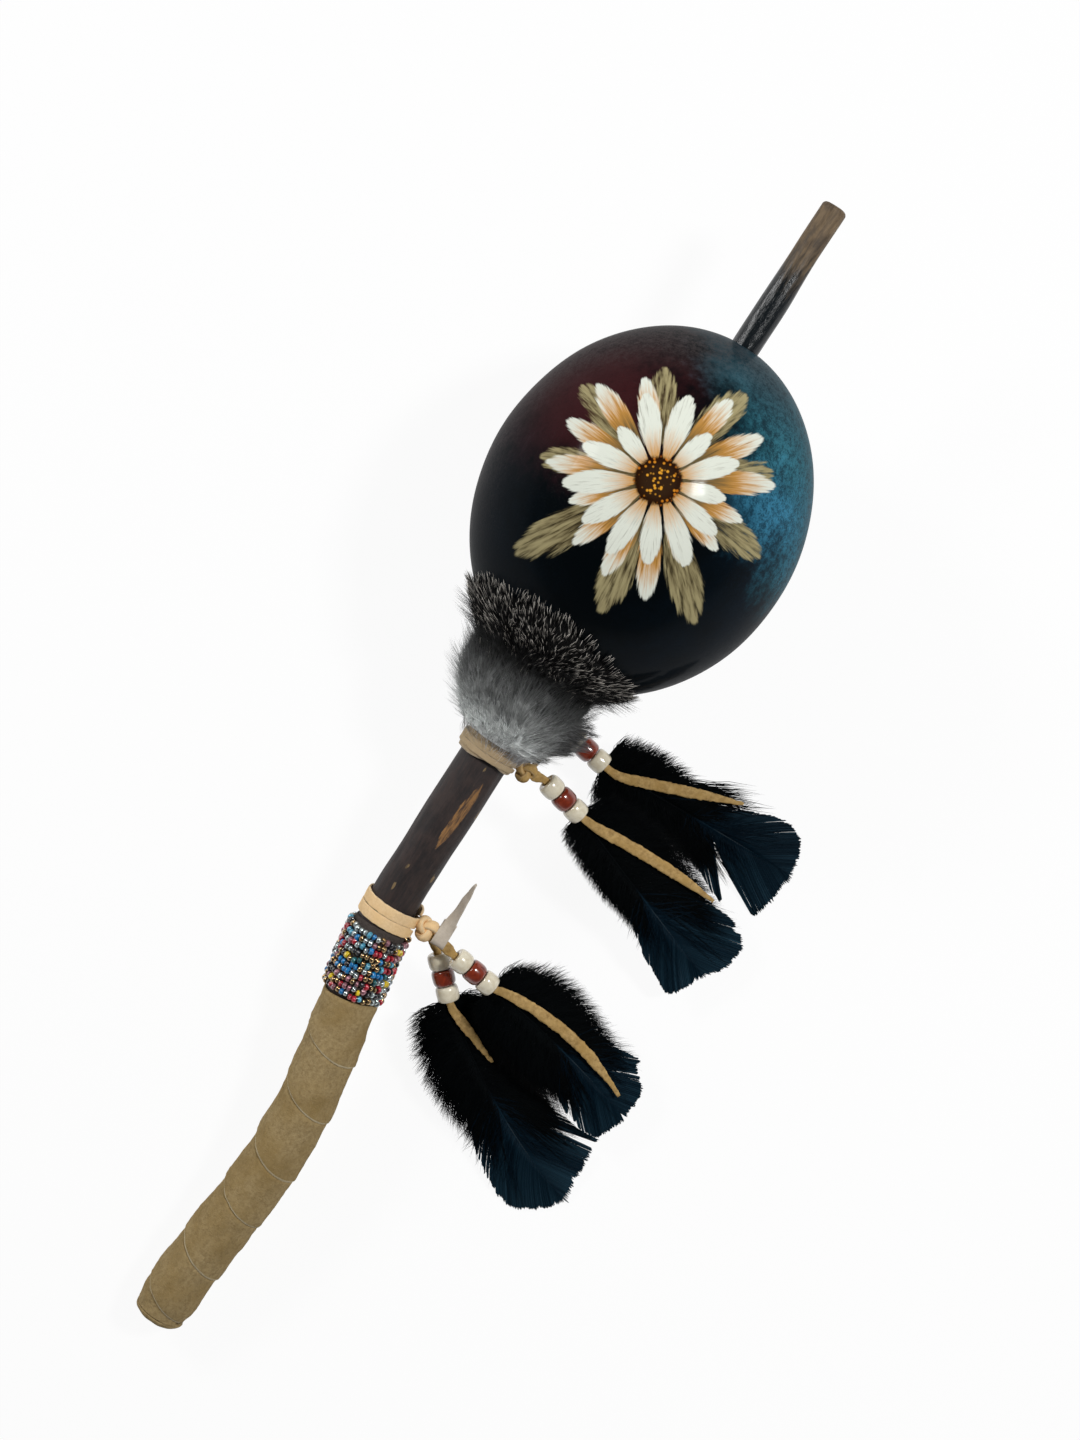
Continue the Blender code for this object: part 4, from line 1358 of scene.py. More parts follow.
    def build_stray_hairs(self) -> None:
        """Pointed wisps on the drops' side, and a few long white hairs across the coat.

        A wisp's hairs run from a patch of the coat to about one point beside it.
        """
        draw = np.random.default_rng(51)
        count = self.wisps * self.hairs_in_wisp
        wisp = np.repeat(np.arange(self.wisps), self.hairs_in_wisp)
        down = np.linspace(0.0790, 0.0985, self.wisps)
        angle = math.pi + draw.uniform(-0.55, 0.10, self.wisps)
        reach = draw.uniform(0.0105, 0.0180, self.wisps)
        ahead = draw.uniform(0.0020, 0.0080, self.wisps)
        goal = self.line.round(ahead - down, angle, self.seat(down) + reach)[wisp]
        goal = goal + draw.normal(0.0, 0.0006, (count, 3))
        near = down[wisp] + draw.normal(0.0, 0.0016, count)
        start = self.line.round(-near, angle[wisp] + draw.normal(0.0, 0.10, count), self.seat(near) + 0.004)
        wisp_lines = self.bowed_lines(start, goal, draw.normal(0.0, 0.0005, (count, 1, 3)))
        grey = draw.uniform(0.050, 0.260, count)[:, None, None] * np.ones((1, self.hair_points, 3))

        many = self.white_hairs
        root = self.roots(draw.uniform(0.0, math.pi, many), draw.uniform(0.0660, 0.0930, many))
        flat = draw.uniform(14.0, 34.0, many)
        white_lines = self.hair_lines(root, draw.uniform(0.0030, 0.0070, many), flat, flat,
                                      draw.uniform(-1.2, 1.2, many))
        white = np.full((many, self.hair_points, 3), 0.60)

        facing = np.concatenate([np.broadcast_to(UP, (count, 3)), root[2]])
        width = np.concatenate([draw.uniform(0.00009, 0.00015, count), np.full(many, 0.00011)])[:, None]
        width = width * (1.0 - 0.8 * self.shares)
        lines = np.concatenate([wisp_lines, white_lines])
        tint = with_alpha(np.concatenate([grey, white]))
        self.plant("stray_hairs", Hair("stray_hair", 0.5).make(), lines, width, facing, tint)

    def build_hem_hairs(self) -> None:
        """Fine pale hairs that hang from the fur over the hem, most of them towards the drops' side.

        A hair runs straight from the fur's lower edge to a place below it, close over the hem, with
        a bow of half a sine outwards.
        """
        draw = np.random.default_rng(56)
        angle = draw.uniform(0.0, 2 * math.pi, self.hem_hairs)
        keep = draw.random(self.hem_hairs) < 0.16 + 0.84 * (0.5 - 0.5 * np.cos(angle - 0.55)) ** 2
        angle = angle[keep]
        count = len(angle)
        high = draw.uniform(0.0945, 0.0990, count)
        low = high + draw.uniform(0.0025, 0.0075, count)
        start = self.line.round(-high, angle, self.under(high, angle) - 0.0006)
        skew = angle + draw.normal(0.0, 0.16, count)
        goal = self.line.round(-low, skew, self.stick_radius + draw.uniform(0.0016, 0.0034, count))
        spoke = unit(start - self.line.axes(-high)[0])
        bow = spoke[:, None] * draw.uniform(0.0, 0.0009, (count, 1, 1))
        bow = bow + draw.normal(0.0, 0.00035, (count, 1, 3))
        lines = self.bowed_lines(start, goal, bow)
        width = draw.uniform(0.00006, 0.00011, count)[:, None] * (1.0 - 0.8 * self.shares)
        grey = draw.uniform(0.30, 0.80, count)[:, None, None] * np.ones((1, self.hair_points, 3))
        self.plant("hem_hairs", Hair("hem_hair", 0.6).make(), lines, width, spoke, with_alpha(grey))


# Lace windings and knots


@dataclass
class LaceTie:
    """A flat lace wound round the stick, with a knot on the drops' side."""

    line: StickLine
    name: str
    at: float
    pitch: float
    centre: float
    half_width: float
    half_thick: float
    knot_joint: str
    knot_radius: float
    knot_lace: float
    lift: float = 0.0
    turns: int = 2
    steps_in_turn: int = 80

    def build(self, finish: Material, knot_finish: Material) -> None:
        """The winding: a flat section along a helix, and the knot beside it.

        The helix hugs the stick, and stands off towards the knot by the lift times the sixth power
        of the cosine of the angle to it.

        Args:
            finish: the winding's leather.
            knot_finish: the knot's leather.
        """
        count = self.turns * self.steps_in_turn + 1
        share = np.linspace(0.0, self.turns, count)
        along = -(self.at - self.turns * self.pitch / 2 + self.pitch * share)
        angle = math.pi + 2 * math.pi * share
        stand = self.lift * np.maximum(0.0, -np.cos(angle)) ** 6
        path = self.line.round(along, angle, self.centre + stand)
        centre, _, _ = self.line.axes(along)
        path = path + 0.00012 * ripple(path, 0.016, 61)[:, None] * unit(path - centre)
        taper = np.minimum(1.0, 0.45 + np.minimum(share, self.turns - share) * 8)
        rings, across = ribbon_rings(path, unit(path - centre), self.half_width * taper,
                                     np.full(count, self.half_thick), 16, 6.0)
        rings = rings + 0.00007 * ripple(rings, 0.0024, 62)[..., None] * unit(rings - path[:, None])
        edge = np.clip((np.abs(across) - 0.80) / 0.2, 0.0, 1.0)
        winding = Surface.swept(rings, layers={"edge": edge})
        winding.piece(f"{self.name}_lace", finish, "rattle", "lace", [f"{self.name}_tie"])
        self.build_knot(knot_finish)

    def build_knot(self, finish: Material) -> None:
        """The knot: a flat lace along a trefoil, which is an overhand knot drawn tight.

        At turn t the trefoil lies at (sin t + 2 sin 2t, cos t - 2 cos 2t, -1.1 sin 3t) times a third
        of the knot's radius, in the plane of the stick and the drops.

        Args:
            finish: the leather.
        """
        place = np.array(joint(self.knot_joint)["pos_m"], float)
        turn = circle(110)
        flat = np.stack([np.sin(turn) + 2 * np.sin(2 * turn), np.cos(turn) - 2 * np.cos(2 * turn),
                         -1.1 * np.sin(3 * turn)], axis=1) * (self.knot_radius / 3)
        axes = np.stack([-self.line.side, self.line.forward, self.line.up])
        path = place + flat @ axes
        half = np.full(len(path), self.knot_lace)
        rings, across = ribbon_rings(path, unit(path - place + 1e-6), half, 0.62 * half, 10, 2.0, True)
        knot = Surface.swept(rings, loop=True, layers={"edge": np.abs(across) ** 8})
        knot.piece(f"{self.name}_lace_knot", finish, "rattle", "lace", [f"{self.name}_knot"])


# Bead band


class SeedTint(Enum):
    """Colours of the seed beads: red, green, blue, share of metal lining, and weight in the mix."""

    BLUE = (0.003, 0.215, 0.560, 0.0, 0.10)
    SKY = (0.090, 0.400, 0.580, 0.2, 0.06)
    RED = (0.500, 0.016, 0.034, 0.0, 0.12)
    YELLOW = (0.900, 0.640, 0.010, 0.0, 0.04)
    SILVER = (0.600, 0.690, 0.700, 0.75, 0.23)
    BRONZE = (0.520, 0.340, 0.150, 0.95, 0.23)
    BLACK = (0.008, 0.008, 0.012, 0.0, 0.13)
    ROSE = (0.400, 0.170, 0.210, 0.50, 0.10)
    TEAL = (0.020, 0.170, 0.190, 0.3, 0.03)


@dataclass
class BeadBand:
    """Seed beads on one thread, wound round a dark hide backing."""

    line: StickLine
    start: float
    turns: int = 10
    pitch: float = 0.00265
    backing_radius: float = 0.0104
    backing_thickness: float = 0.0004
    margin: float = 0.0005
    strand_radius: float = 0.00105
    bead_radius: float = 0.00140
    bead_length: float = 0.00188
    bore: float = 0.00035
    bead_sides: int = 9
    bead_arc: int = 6
    bead_sink: float = 0.00030
    thread_radius: float = 0.0003

    def __post_init__(self) -> None:
        """Work out where the thread runs."""
        self.first = self.start + self.margin + self.strand_radius
        self.centre = self.backing_radius + GAP + self.strand_radius

    def build(self) -> None:
        """Backing, thread and beads."""
        end = self.first + self.turns * self.pitch + self.strand_radius + self.margin
        self.build_backing(end)
        self.build_beads()

    def build_backing(self, end: float) -> None:
        """The hide backing: a sleeve round the stick with rolled edges.

        Args:
            end: place of its lower edge.
        """
        down = np.linspace(self.start, end, 40)
        rim = np.minimum(down - self.start, end - down)
        outer = self.backing_radius - 0.0003 * (1 - ease(rim, 0.0, 0.0006))
        inner = np.full(40, self.backing_radius - self.backing_thickness)
        loop = np.concatenate([np.stack([down, outer], axis=1), np.stack([down, inner], axis=1)[::-1]])
        angle = circle(72)[None]
        rings = self.line.round(-loop[:, :1], angle, loop[:, 1:])
        edge = np.zeros(rings.shape[:2])
        backing = Surface.swept(rings, loop=True, layers={"edge": edge})
        backing.piece("band_backing", BACKING_HIDE.make(), "rattle", "backing", ["bead_backing"])

    def build_beads(self) -> None:
        """Beads strung along the thread's helix, each a small ring turned round its bore.

        A bead's profile is an ellipse that stands off the bore's axis, and the colours come in runs
        of one or two beads.
        """
        draw = np.random.default_rng(76)
        around = math.hypot(2 * math.pi * self.centre, self.pitch)
        count = int(self.turns * around / self.bead_length)
        share = (np.arange(count) + 0.5) / count * self.turns
        share = share + draw.normal(0.0, 0.0006, count)
        size = draw.uniform(0.86, 1.08, count)
        along = -(self.first + self.pitch * share) + draw.normal(0.0, 0.00024, count)
        angle = math.pi + 2 * math.pi * share
        radius = self.backing_radius + self.bead_radius * size - self.bead_sink
        radius = radius + np.abs(draw.normal(0, 0.00008, count))
        middle = self.line.round(along, angle, radius)
        ahead = self.line.round(along - self.pitch * 0.02, angle + 0.02 * 2 * math.pi, radius)
        bore_axis = unit(unit(ahead - middle) + draw.normal(0.0, 0.14, (count, 3)))
        centre, _, _ = self.line.axes(along)
        outward = unit(middle - centre)
        beside = unit(np.cross(bore_axis, outward))
        outward = np.cross(beside, bore_axis)

        arc = circle(self.bead_arc)
        mid = (self.bead_radius + self.bore) / 2
        half = (self.bead_radius - self.bore) / 2
        height = 0.5 * self.bead_length * 0.94 * np.sin(arc)
        reach = mid + half * np.cos(arc)
        turn = circle(self.bead_sides)
        spoke = (np.cos(turn)[None, :, None] * outward[:, None]
                 + np.sin(turn)[None, :, None] * beside[:, None])
        rings = (middle[:, None, None]
                 + (size[:, None] * height[None])[:, :, None, None] * bore_axis[:, None, None]
                 + (size[:, None] * reach[None])[:, :, None, None] * spoke[:, None])
        per_bead = self.bead_arc * self.bead_sides
        first = np.arange(count)[:, None, None] * per_bead
        faces = (grid_quads(self.bead_arc, self.bead_sides, True) + first).reshape(-1, 4)

        palette = np.array([tint.value for tint in SeedTint])
        runs = draw.choice(len(palette), count, p=palette[:, 4] / palette[:, 4].sum())
        pick = np.repeat(runs, draw.choice((1, 1, 1, 1, 2), count))[:count]
        colour = palette[pick, :3] * draw.uniform(0.75, 1.2, (count, 1))
        tint = np.repeat(with_alpha(colour), per_bead, axis=0)
        lining = np.repeat(palette[pick, 3], per_bead)
        beads = Surface(rings.reshape(-1, 3), [faces], {"tint": tint, "lining": lining}).outward()

        steps = np.linspace(0.0, self.turns, self.turns * 48 + 1)
        places = -(self.first + self.pitch * steps)
        radius = self.backing_radius + self.bead_radius
        path = self.line.round(places, math.pi + 2 * math.pi * steps, radius)
        thin = np.full(len(steps), self.thread_radius)
        ring, _ = ribbon_rings(path, unit(path - self.line.axes(places)[0]), thin, thin, 5, 2.0)
        black = with_alpha(np.full((*ring.shape[:2], 3), 0.03))
        thread = Surface.swept(ring, layers={"tint": black, "lining": np.zeros(ring.shape[:2])})
        band = Surface.joined([beads, thread])
        band.piece("seed_beads", Glass().make(), "rattle", "seed_beads", ["bead_strand"])


# Suede grip


@dataclass
class Grip:
    """Suede strip wound down the handle, each turn lapping the next, and the disc over the butt."""

    line: StickLine
    start: float
    turns: int = 6
    bore: float = 0.0100
    thin: float = 0.0010
    thick: float = 0.0017
    least_width: float = 0.0020
    cap_height: float = 0.0040
    steps_in_turn: int = 96
    lap: float = 0.0004
    bow: float = 0.0034
    turned: float = math.pi
    butt_taper: float = 0.0017
    butt_taper_length: float = 0.011

    def build(self) -> None:
        """Strip and end disc in one suede."""
        finish = GRIP_SUEDE.make()
        self.build_strip(finish)
        self.build_cap(finish)

    def build_strip(self, finish: Material) -> None:
        """The strip: a section carried along the helix, thin at its upper and thick at its lower edge.

        Across the strip the height runs from thin to thick with a rounded lower lip that laps the
        next turn, the seam bows towards the butt on top by a sine of the angle, and the nap's lumps
        move the skin by a fraction of a millimetre.

        Args:
            finish: the suede.
        """
        butt = self.line.butt
        pitch = (butt - self.start) / self.turns
        width = pitch + self.lap
        share = np.arange((self.turns + 1) * self.steps_in_turn + 1) / self.steps_in_turn
        wander = 0.0012 * np.sin(share * 2.9) + 0.0007 * np.sin(share * 7.3 + 1.0)
        wander = wander + self.bow * np.sin(2 * math.pi * share + self.turned)
        low = np.minimum(self.start + pitch * share + wander, butt)
        above = np.interp(share - 1, share, wander)
        high = np.maximum(self.start + pitch * share + above - width, self.start)
        keep = low - high > self.least_width
        share, low, high = share[keep], low[keep], high[keep]
        place = np.concatenate([np.linspace(0.0, 0.90, 12), np.array((0.94, 0.97, 0.985, 0.995, 1.0))])
        lip = np.sqrt(np.clip(1 - np.clip((place - 0.955) / 0.045, 0, 1) ** 2, 0.0, 1.0))
        height = (self.thin + (self.thick - self.thin) * place ** 1.6) * (0.25 + 0.75 * lip)
        under = place[::-4]
        across = np.concatenate([place, under])
        reach = self.bore + np.concatenate([height, np.zeros(len(under))])
        down = high[:, None] + (low - high)[:, None] * across[None]
        angle = (2 * math.pi * share + self.turned)[:, None]
        rings = self.line.round(-down, angle, np.broadcast_to(reach, down.shape))
        over = np.concatenate([np.ones(len(place)), np.zeros(len(under))])[None]
        soft = (0.00022 * ripple(rings, 0.011, 81) + 0.00010 * ripple(rings, 0.0032, 82)) * over
        soft = soft - self.butt_taper * over * ease(down, butt - self.butt_taper_length, butt) ** 2
        rings = self.line.round(-down, angle, reach + soft)
        edge = np.broadcast_to(np.concatenate([ease(place, 0.935, 0.97), np.zeros(len(under))]), down.shape)
        strip = Surface.swept(rings, layers={"edge": np.array(edge)})
        strip.piece("grip_strip", finish, "rattle", "suede", ["grip_wrap"])

    def build_cap(self, finish: Material) -> None:
        """The disc: a quarter ellipse turned round the stick's end, a little uneven.

        Args:
            finish: the suede.
        """
        turn = np.linspace(0.03, math.pi / 2, 22)[:, None]
        radius = (self.bore + self.thick - 0.0016) * np.sin(turn)
        out = GAP + self.cap_height * np.cos(turn)
        out = np.concatenate([out, [[GAP]]])
        radius = np.concatenate([radius, [[self.bore * 0.5]]])
        at = np.full(1, -self.line.butt)
        centre, heading, left = (part[0] for part in self.line.axes(at))
        angle = circle(64)[None]
        spoke = np.cos(angle)[..., None] * left + np.sin(angle)[..., None] * self.line.up
        rings = centre - out[..., None] * heading + radius[..., None] * spoke
        rings = rings + 0.00012 * ripple(rings, 0.006, 83)[..., None] * unit(rings - centre)
        edge = np.zeros(rings.shape[:2])
        cap = Surface.swept(rings, layers={"edge": edge})
        cap.piece("grip_end_disc", finish, "rattle", "suede", ["grip_end_cap"])


# Drops


@dataclass(frozen=True)
class FeatherForm:
    """Outline and wear of one feather, in metres.

    Left and right are half widths at even places along the quill. Ends are places across the quill
    with the length that the feather has there. A split is a share of the length, below zero on the
    right side, with half the width of its opening. A tuft of loose barbs has its side, its share of
    the length, its angle from the quill and its reach.
    """

    left: Floats
    right: Floats
    ends: tuple[tuple[float, float], ...]
    bend: float
    firm_from: float
    splits: tuple[tuple[float, float], ...]
    seed: int
    tuft: Optional[tuple[float, float, float, float]] = None


@dataclass
class Drop:
    """A lace from a knot through three pony beads, with a feather under its tail.

    Azimuths are degrees from -Y towards +X, yaws are from the bead row towards +X, and route points
    run from the knot.
    """

    name: str
    route: tuple[Place, ...]
    azimuth: float
    tip_height: float
    feather_yaw: float
    feather_length: float
    tail_yaw: float
    tail_length: float
    tail_bow: float
    form: FeatherForm
    lace_half_width: float = 0.0022
    lace_half_thick: float = 0.0008
    bead_radius: float = 0.0045
    bead_length: float = 0.0063
    bead_bore: float = 0.0018
    bead_gap: float = 0.0003
    row_start: float = 0.0009
    lace_radius: float = 0.0014
    feather_thickness: float = 0.0012
    quill_half_width: float = 0.0011
    beads: int = 3
    tail_steps: int = 20
    tail_turn_share: float = 0.2
    lace_step: float = 0.0010
    hinge_reach: float = 0.0016
    floor_gap: float = 0.0004
    bead_end_lip: float = 0.0005

    def __post_init__(self) -> None:
        """Find the drop's knot, hinge and axes in the frame."""
        self.start = np.array(joint(f"{self.name}_swing")["pos_m"], float)
        self.hinge = np.array(joint(f"{self.name}_lift")["pos_m"], float)
        self.pitch = self.bead_length + self.bead_gap
        self.row_end = self.row_start + self.beads * self.pitch
        yaw = math.radians(self.feather_yaw)
        reach = self.row_end + self.feather_length * math.cos(yaw)
        slope = math.asin((self.hinge[2] - self.tip_height) / reach)
        turn = math.radians(self.azimuth)
        ahead = np.array((math.sin(turn), -math.cos(turn), 0.0))
        self.side = np.array((math.cos(turn), math.sin(turn), 0.0))
        self.ahead = math.cos(slope) * ahead - math.sin(slope) * UP
        self.above = math.sin(slope) * ahead + math.cos(slope) * UP

    def world(self, local: Array) -> Array:
        """Points in the drop's own axes, from its hinge, moved into the frame."""
        axes = np.stack([self.ahead, self.side, self.above])
        return self.hinge + local @ axes

    def lace_path(self) -> Array:
        """The lace's line: the neck's route, the bead row and the bowed tail, as one smooth curve.

        Returns:
            Points about a millimetre apart, from the knot to the tail's end.
        """
        neck = self.start + np.array(self.route)
        row = np.array([(along, 0.0, 0.0) for along in (0.0018, self.row_end / 2, self.row_end)])
        share = np.linspace(0.0, 1.0, self.tail_steps + 1)
        turned = math.asin(math.sin(math.radians(self.tail_yaw)) / (1 - self.tail_turn_share / 2))
        heading = turned * ease(share, 0.0, self.tail_turn_share)
        heading = (heading[1:] + heading[:-1]) / 2
        step = self.tail_length / self.tail_steps
        sideways = self.tail_bow * 4 * share[1:] * (1 - share[1:])
        along = np.cumsum(np.cos(heading)) * step
        tail = np.stack([self.row_end + along, np.cumsum(np.sin(heading)) * step + sideways,
                         np.zeros(self.tail_steps)], axis=1)
        points = np.concatenate([self.start[None], neck, self.world(row), self.world(tail)])
        return smooth_line(points, self.lace_step)

    def build(self, finishes: dict[str, Material]) -> None:
        """Lace, beads and feather.

        Args:
            finishes: leather, pearl, red and plume.
        """
        beads = self.build_beads(finishes)
        feather = self.build_feather(finishes["plume"])
        self.build_lace(finishes["leather"])

    def build_lace(self, finish: Material) -> None:
        """The lace: a flat section along its path, drawn in where it passes the beads.

        The width falls to a narrow end over the last third, and the edges are ragged with nap.

        Args:
            finish: the leather.
        """
        path = self.lace_path()
        along = path_lengths(path)
        to_hinge = along[np.argmin(np.linalg.norm(path - self.hinge, axis=1))]
        past = along - to_hinge
        left = along[-1] - along
        in_row = ease(past, -0.003, 0.0005) * (1 - ease(past, self.row_end - 0.001, self.row_end + 0.013))
        width = self.lace_half_width * (1 - 0.34 * in_row)
        width = width * (0.30 + 0.70 * ease(left, 0.0, 0.024) ** 0.7)
        width = width * (1 - 0.25 * (1 - ease(along, 0.0, 0.006)))
        thick = self.lace_half_thick * (0.55 + 0.45 * ease(left, 0.0, 0.020))
        lean = ease(past, -0.012, -0.001)[:, None]
        facing = unit((1 - lean) * np.array((0.0, -1.0, 0.35)) + lean * self.above)
        rings, across = ribbon_rings(path, facing, width, thick, 14)
        nap = 0.00018 * ripple(rings, 0.0026, 91 + len(path)) + 0.00013 * ripple(rings, 0.0010, 92)
        nap = nap * (1 - 0.8 * in_row)[:, None] * (0.35 + 0.65 * np.abs(across))
        rings = rings + nap[..., None] * unit(rings - path[:, None])
        edge = np.clip((np.abs(across) - 0.85) / 0.15, 0.0, 1.0) * 0.6
        lace = Surface.swept(rings, layers={"edge": edge})
        nodes = [f"{self.name}_lace_neck", f"{self.name}_lace_tail"]
        item = lace.piece(f"{self.name}_lace", finish, None, "lace", nodes)
        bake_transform(item)

    def build_beads(self, finishes: dict[str, Material]) -> list[Piece]:
        """Pony beads: a barrel profile turned round the lace.

        The profile runs up the bore and back over an outer superellipse that is flat at both ends.

        Args:
            finishes: pearl for the outer beads and red for the middle one.

        Returns:
            The beads.
        """
        turn = np.linspace(-math.pi / 2, math.pi / 2, 23)
        height = np.sign(np.sin(turn)) * np.abs(np.sin(turn)) ** 0.80 * self.bead_length / 2
        bulge = np.cos(turn) ** 0.40
        lip = self.bead_end_lip
        outer = self.bead_bore + lip + (self.bead_radius - self.bead_bore - lip) * bulge
        bore = np.linspace(self.bead_length / 2, -self.bead_length / 2, 7) * 0.93
        profile = np.concatenate([np.stack([height, outer], axis=1),
                                  np.stack([bore, np.full(7, self.bead_bore)], axis=1)])
        angle = circle(40)[None]
        made = []
        for number in range(self.beads):
            middle = self.row_start + self.pitch * (number + 0.5)
            local = np.stack(np.broadcast_arrays(middle + profile[:, :1], profile[:, 1:] * np.cos(angle),
                                                 profile[:, 1:] * np.sin(angle)), axis=-1)
            red = number == 1
            bead = Surface.swept(self.world(local), loop=True)
            made.append(bead.piece(f"{self.name}_pony_{number + 1}", finishes["red" if red else "pearl"],
                                   f"{self.name}_drop", "red_bead" if red else "cream_bead",
                                   [f"{self.name}_bead_{number + 1}"]))
        return made

    def build_feather(self, finish: Material) -> Piece:
        """The feather under the lace's tail.

        Args:
            finish: the plume.

        Returns:
            The feather.
        """
        yaw = math.radians(self.feather_yaw)
        turn = np.array(((math.cos(yaw), math.sin(yaw), 0.0), (-math.sin(yaw), math.cos(yaw), 0.0),
                         (0.0, 0.0, 1.0)))
        under = -(self.lace_radius + GAP + self.feather_thickness / 2)
        offset = np.array((self.row_end + GAP, 0.0, under))
        feather = Feather(self.feather_length, self.quill_half_width, self.form)
        surface = feather.surface()
        surface.points = self.world(surface.points @ turn + offset)
        surface.points[:, 2] = np.maximum(surface.points[:, 2], self.floor_gap)
        return surface.piece(f"{self.name}_plume", finish, f"{self.name}_drop", "feather",
                             [f"{self.name}_feather"])


@dataclass
class Feather:
    """A feather in its own axes: x along the quill, y to its left and z up."""

    length: float
    quill_half_width: float
    form: FeatherForm
    vane_barbs: int = 230
    down_barbs: int = 2800
    arch: float = 0.055
    bend_power: float = 2.2
    down_points: int = 6
    fringe_share: float = 0.05
    fringe_end: float = 0.66
    tuft_barbs: int = 170

    def reach(self, share: Array, side: float) -> Array:
        """Half width of the outline on one side at a share of the length."""
        widths = self.form.left if side > 0 else self.form.right
        return np.interp(share, np.linspace(0.0, 1.0, len(widths)), widths)

    def settled(self, x: Array, y: Array, lift: Array) -> Array:
        """Points of the flat feather on its bent quill and arched vane.

        The quill bends sideways with a power of its length share; the vane drops with the square of
        the distance from the quill, and towards its tip.

        Args:
            x: places along the quill.
            y: places to the left of it.
            lift: heights over the vane.

        Returns:
            Points, with a last axis of 3.
        """
        share = np.maximum(x / self.length, 0.0)
        z = 0.0005 + self.arch * (0.00006 - y ** 2) / 0.02 - 0.0014 * share ** 2 + lift
        return np.stack([x, y + self.form.bend * share ** self.bend_power, z], axis=-1)

    def surface(self) -> Surface:
        """Quill, vane and down of both sides.

        Returns:
            All of them in one surface.
        """
        parts = [self.quill()]
        for side in (1.0, -1.0):
            parts.append(self.vane(side))
            parts.append(self.down(side))
        return Surface.joined(parts)

    def quill(self) -> Surface:
        """The quill: a round section that tapers along the feather's middle line.

        Returns:
            The quill.
        """
        share = np.linspace(0.0, 0.97, 50)
        x = share * self.length
        path = self.settled(x, np.zeros_like(x), np.zeros_like(x))
        half = self.quill_half_width * (1 - 0.9 * share ** 0.6) * 0.62
        rings, _ = ribbon_rings(path, np.broadcast_to(UP, path.shape), half, half, 8, 2.0)
        # Painted highlight: a pale line along the quill's middle, carried as a firm value above 1, with a
        # little painted sheen
        bright = 1.62 * (1 - ease(share, 0.70, 0.95)) * ease(share, 0.40, 0.62)
        layers = {"firm": np.repeat(bright[:, None], 8, axis=1), "gloss": np.full(rings.shape[:2], 0.2)}
        return Surface.swept(rings, layers=layers)

    def vane(self, side: float) -> Surface:
        """Vane of one side: barbs side by side that curve forward to the outline.

        A barb leaves the quill at a set angle and bends forward with the square of its share; it
        stops at the outline or at the end line. Barbs lean together in locks, so that the edge
        shows notches, and each split opens a gap between its neighbours.

        Args:
            side: 1 for the left and -1 for the right.

        Returns:
            The barbs.
        """
        draw = np.random.default_rng(self.form.seed * 10 + (1 if side > 0 else 2))
        count = self.vane_barbs
        root = np.linspace(0.05, 0.985, count)
        firm = ease(root, self.form.firm_from - 0.10, self.form.firm_from + 0.10)
        angle = np.radians(np.interp(root, (0.0, 0.3, 0.7, 1.0), (78.0, 54.0, 40.0, 12.0)))
        lock = np.unique(np.cumsum(draw.random(count) < 0.16), return_inverse=True)[1]
        middle = np.bincount(lock, root) / np.bincount(lock)
        lean = (middle[lock] - root) * 0.20 + draw.normal(0.0, 0.004, lock.max() + 1)[lock]
        for place, opening in self.form.splits:
            apart = root - abs(place)
            near = np.exp(-np.abs(apart) / 0.10) * (np.sign(place) == side)
            lean = lean + np.sign(apart) * opening / self.length * near
        fine = 40
        tau = np.linspace(0.0, 1.0, fine)[None]
        uneven = 1.0 + draw.normal(0.0, 0.012, count) + draw.normal(0.0, 0.022, lock.max() + 1)[lock]
        full = self.reach(np.clip(root + 0.20, 0, 1), side) * (0.66 + 0.34 * firm) * uneven
        spread = (full / np.sin(angle))[:, None]
        x = root[:, None] * self.length + spread * (np.cos(angle)[:, None] * tau + 0.16 * tau ** 2)
        x = x + lean[:, None] * self.length * tau ** 1.5
        y = spread * np.sin(angle)[:, None] * (tau - 0.10 * tau ** 2) / 0.90
        across, along = np.array(self.form.ends).T
        ragged = draw.normal(0.0, 0.00015, count) - np.abs(draw.normal(0.0, 0.00045, lock.max() + 1))[lock]
        over = x > np.interp(side * y, across, along) + ragged[:, None]
        last = np.where(over.any(axis=1), tau[0, np.argmax(over, axis=1)], 1.0)
        share = np.array((0.0, 0.14, 0.28, 0.43, 0.58, 0.73, 0.88, 0.98, 1.0))[None]
        place = last[:, None] * share * (fine - 1.001)
        low = place.astype(int)
        rows = np.arange(count)[:, None]
        x = x[rows, low] + (x[rows, low + 1] - x[rows, low]) * (place - low)
        y = (y[rows, low] + (y[rows, low + 1] - y[rows, low]) * (place - low)) * side
        layer = 0.00007 * (np.arange(count) % 3)[:, None]
        lines = self.settled(x, y, layer)
        heading = unit(np.gradient(lines, axis=1))
        apart = np.gradient(lines, axis=0)
        apart = apart - (apart * heading).sum(axis=-1, keepdims=True) * heading
        room = np.minimum(np.linalg.norm(apart, axis=-1), 0.0011)
        loose = 0.00036 * (1.0 - 0.75 * share)
        width = loose + (0.62 * room + 0.00008 - loose) * firm[:, None]
        # Painted sheen: lighter blue streaks by lock and by barb, stronger towards the barbs' ends
        streak = draw.uniform(0.0, 1.0, lock.max() + 1)[lock]
        gloss = 0.6 * draw.uniform(0.0, 1.0, count) ** 2 + 0.5 * streak ** 2
        layers = {"firm": firm[:, None] * np.ones_like(width),
                  "gloss": gloss[:, None] * (0.25 + 0.75 * share)}
        thick = np.full_like(width, 0.00007)
        return Surface.strands(lines, width, thick, np.broadcast_to(UP, (count, 3)), layers)

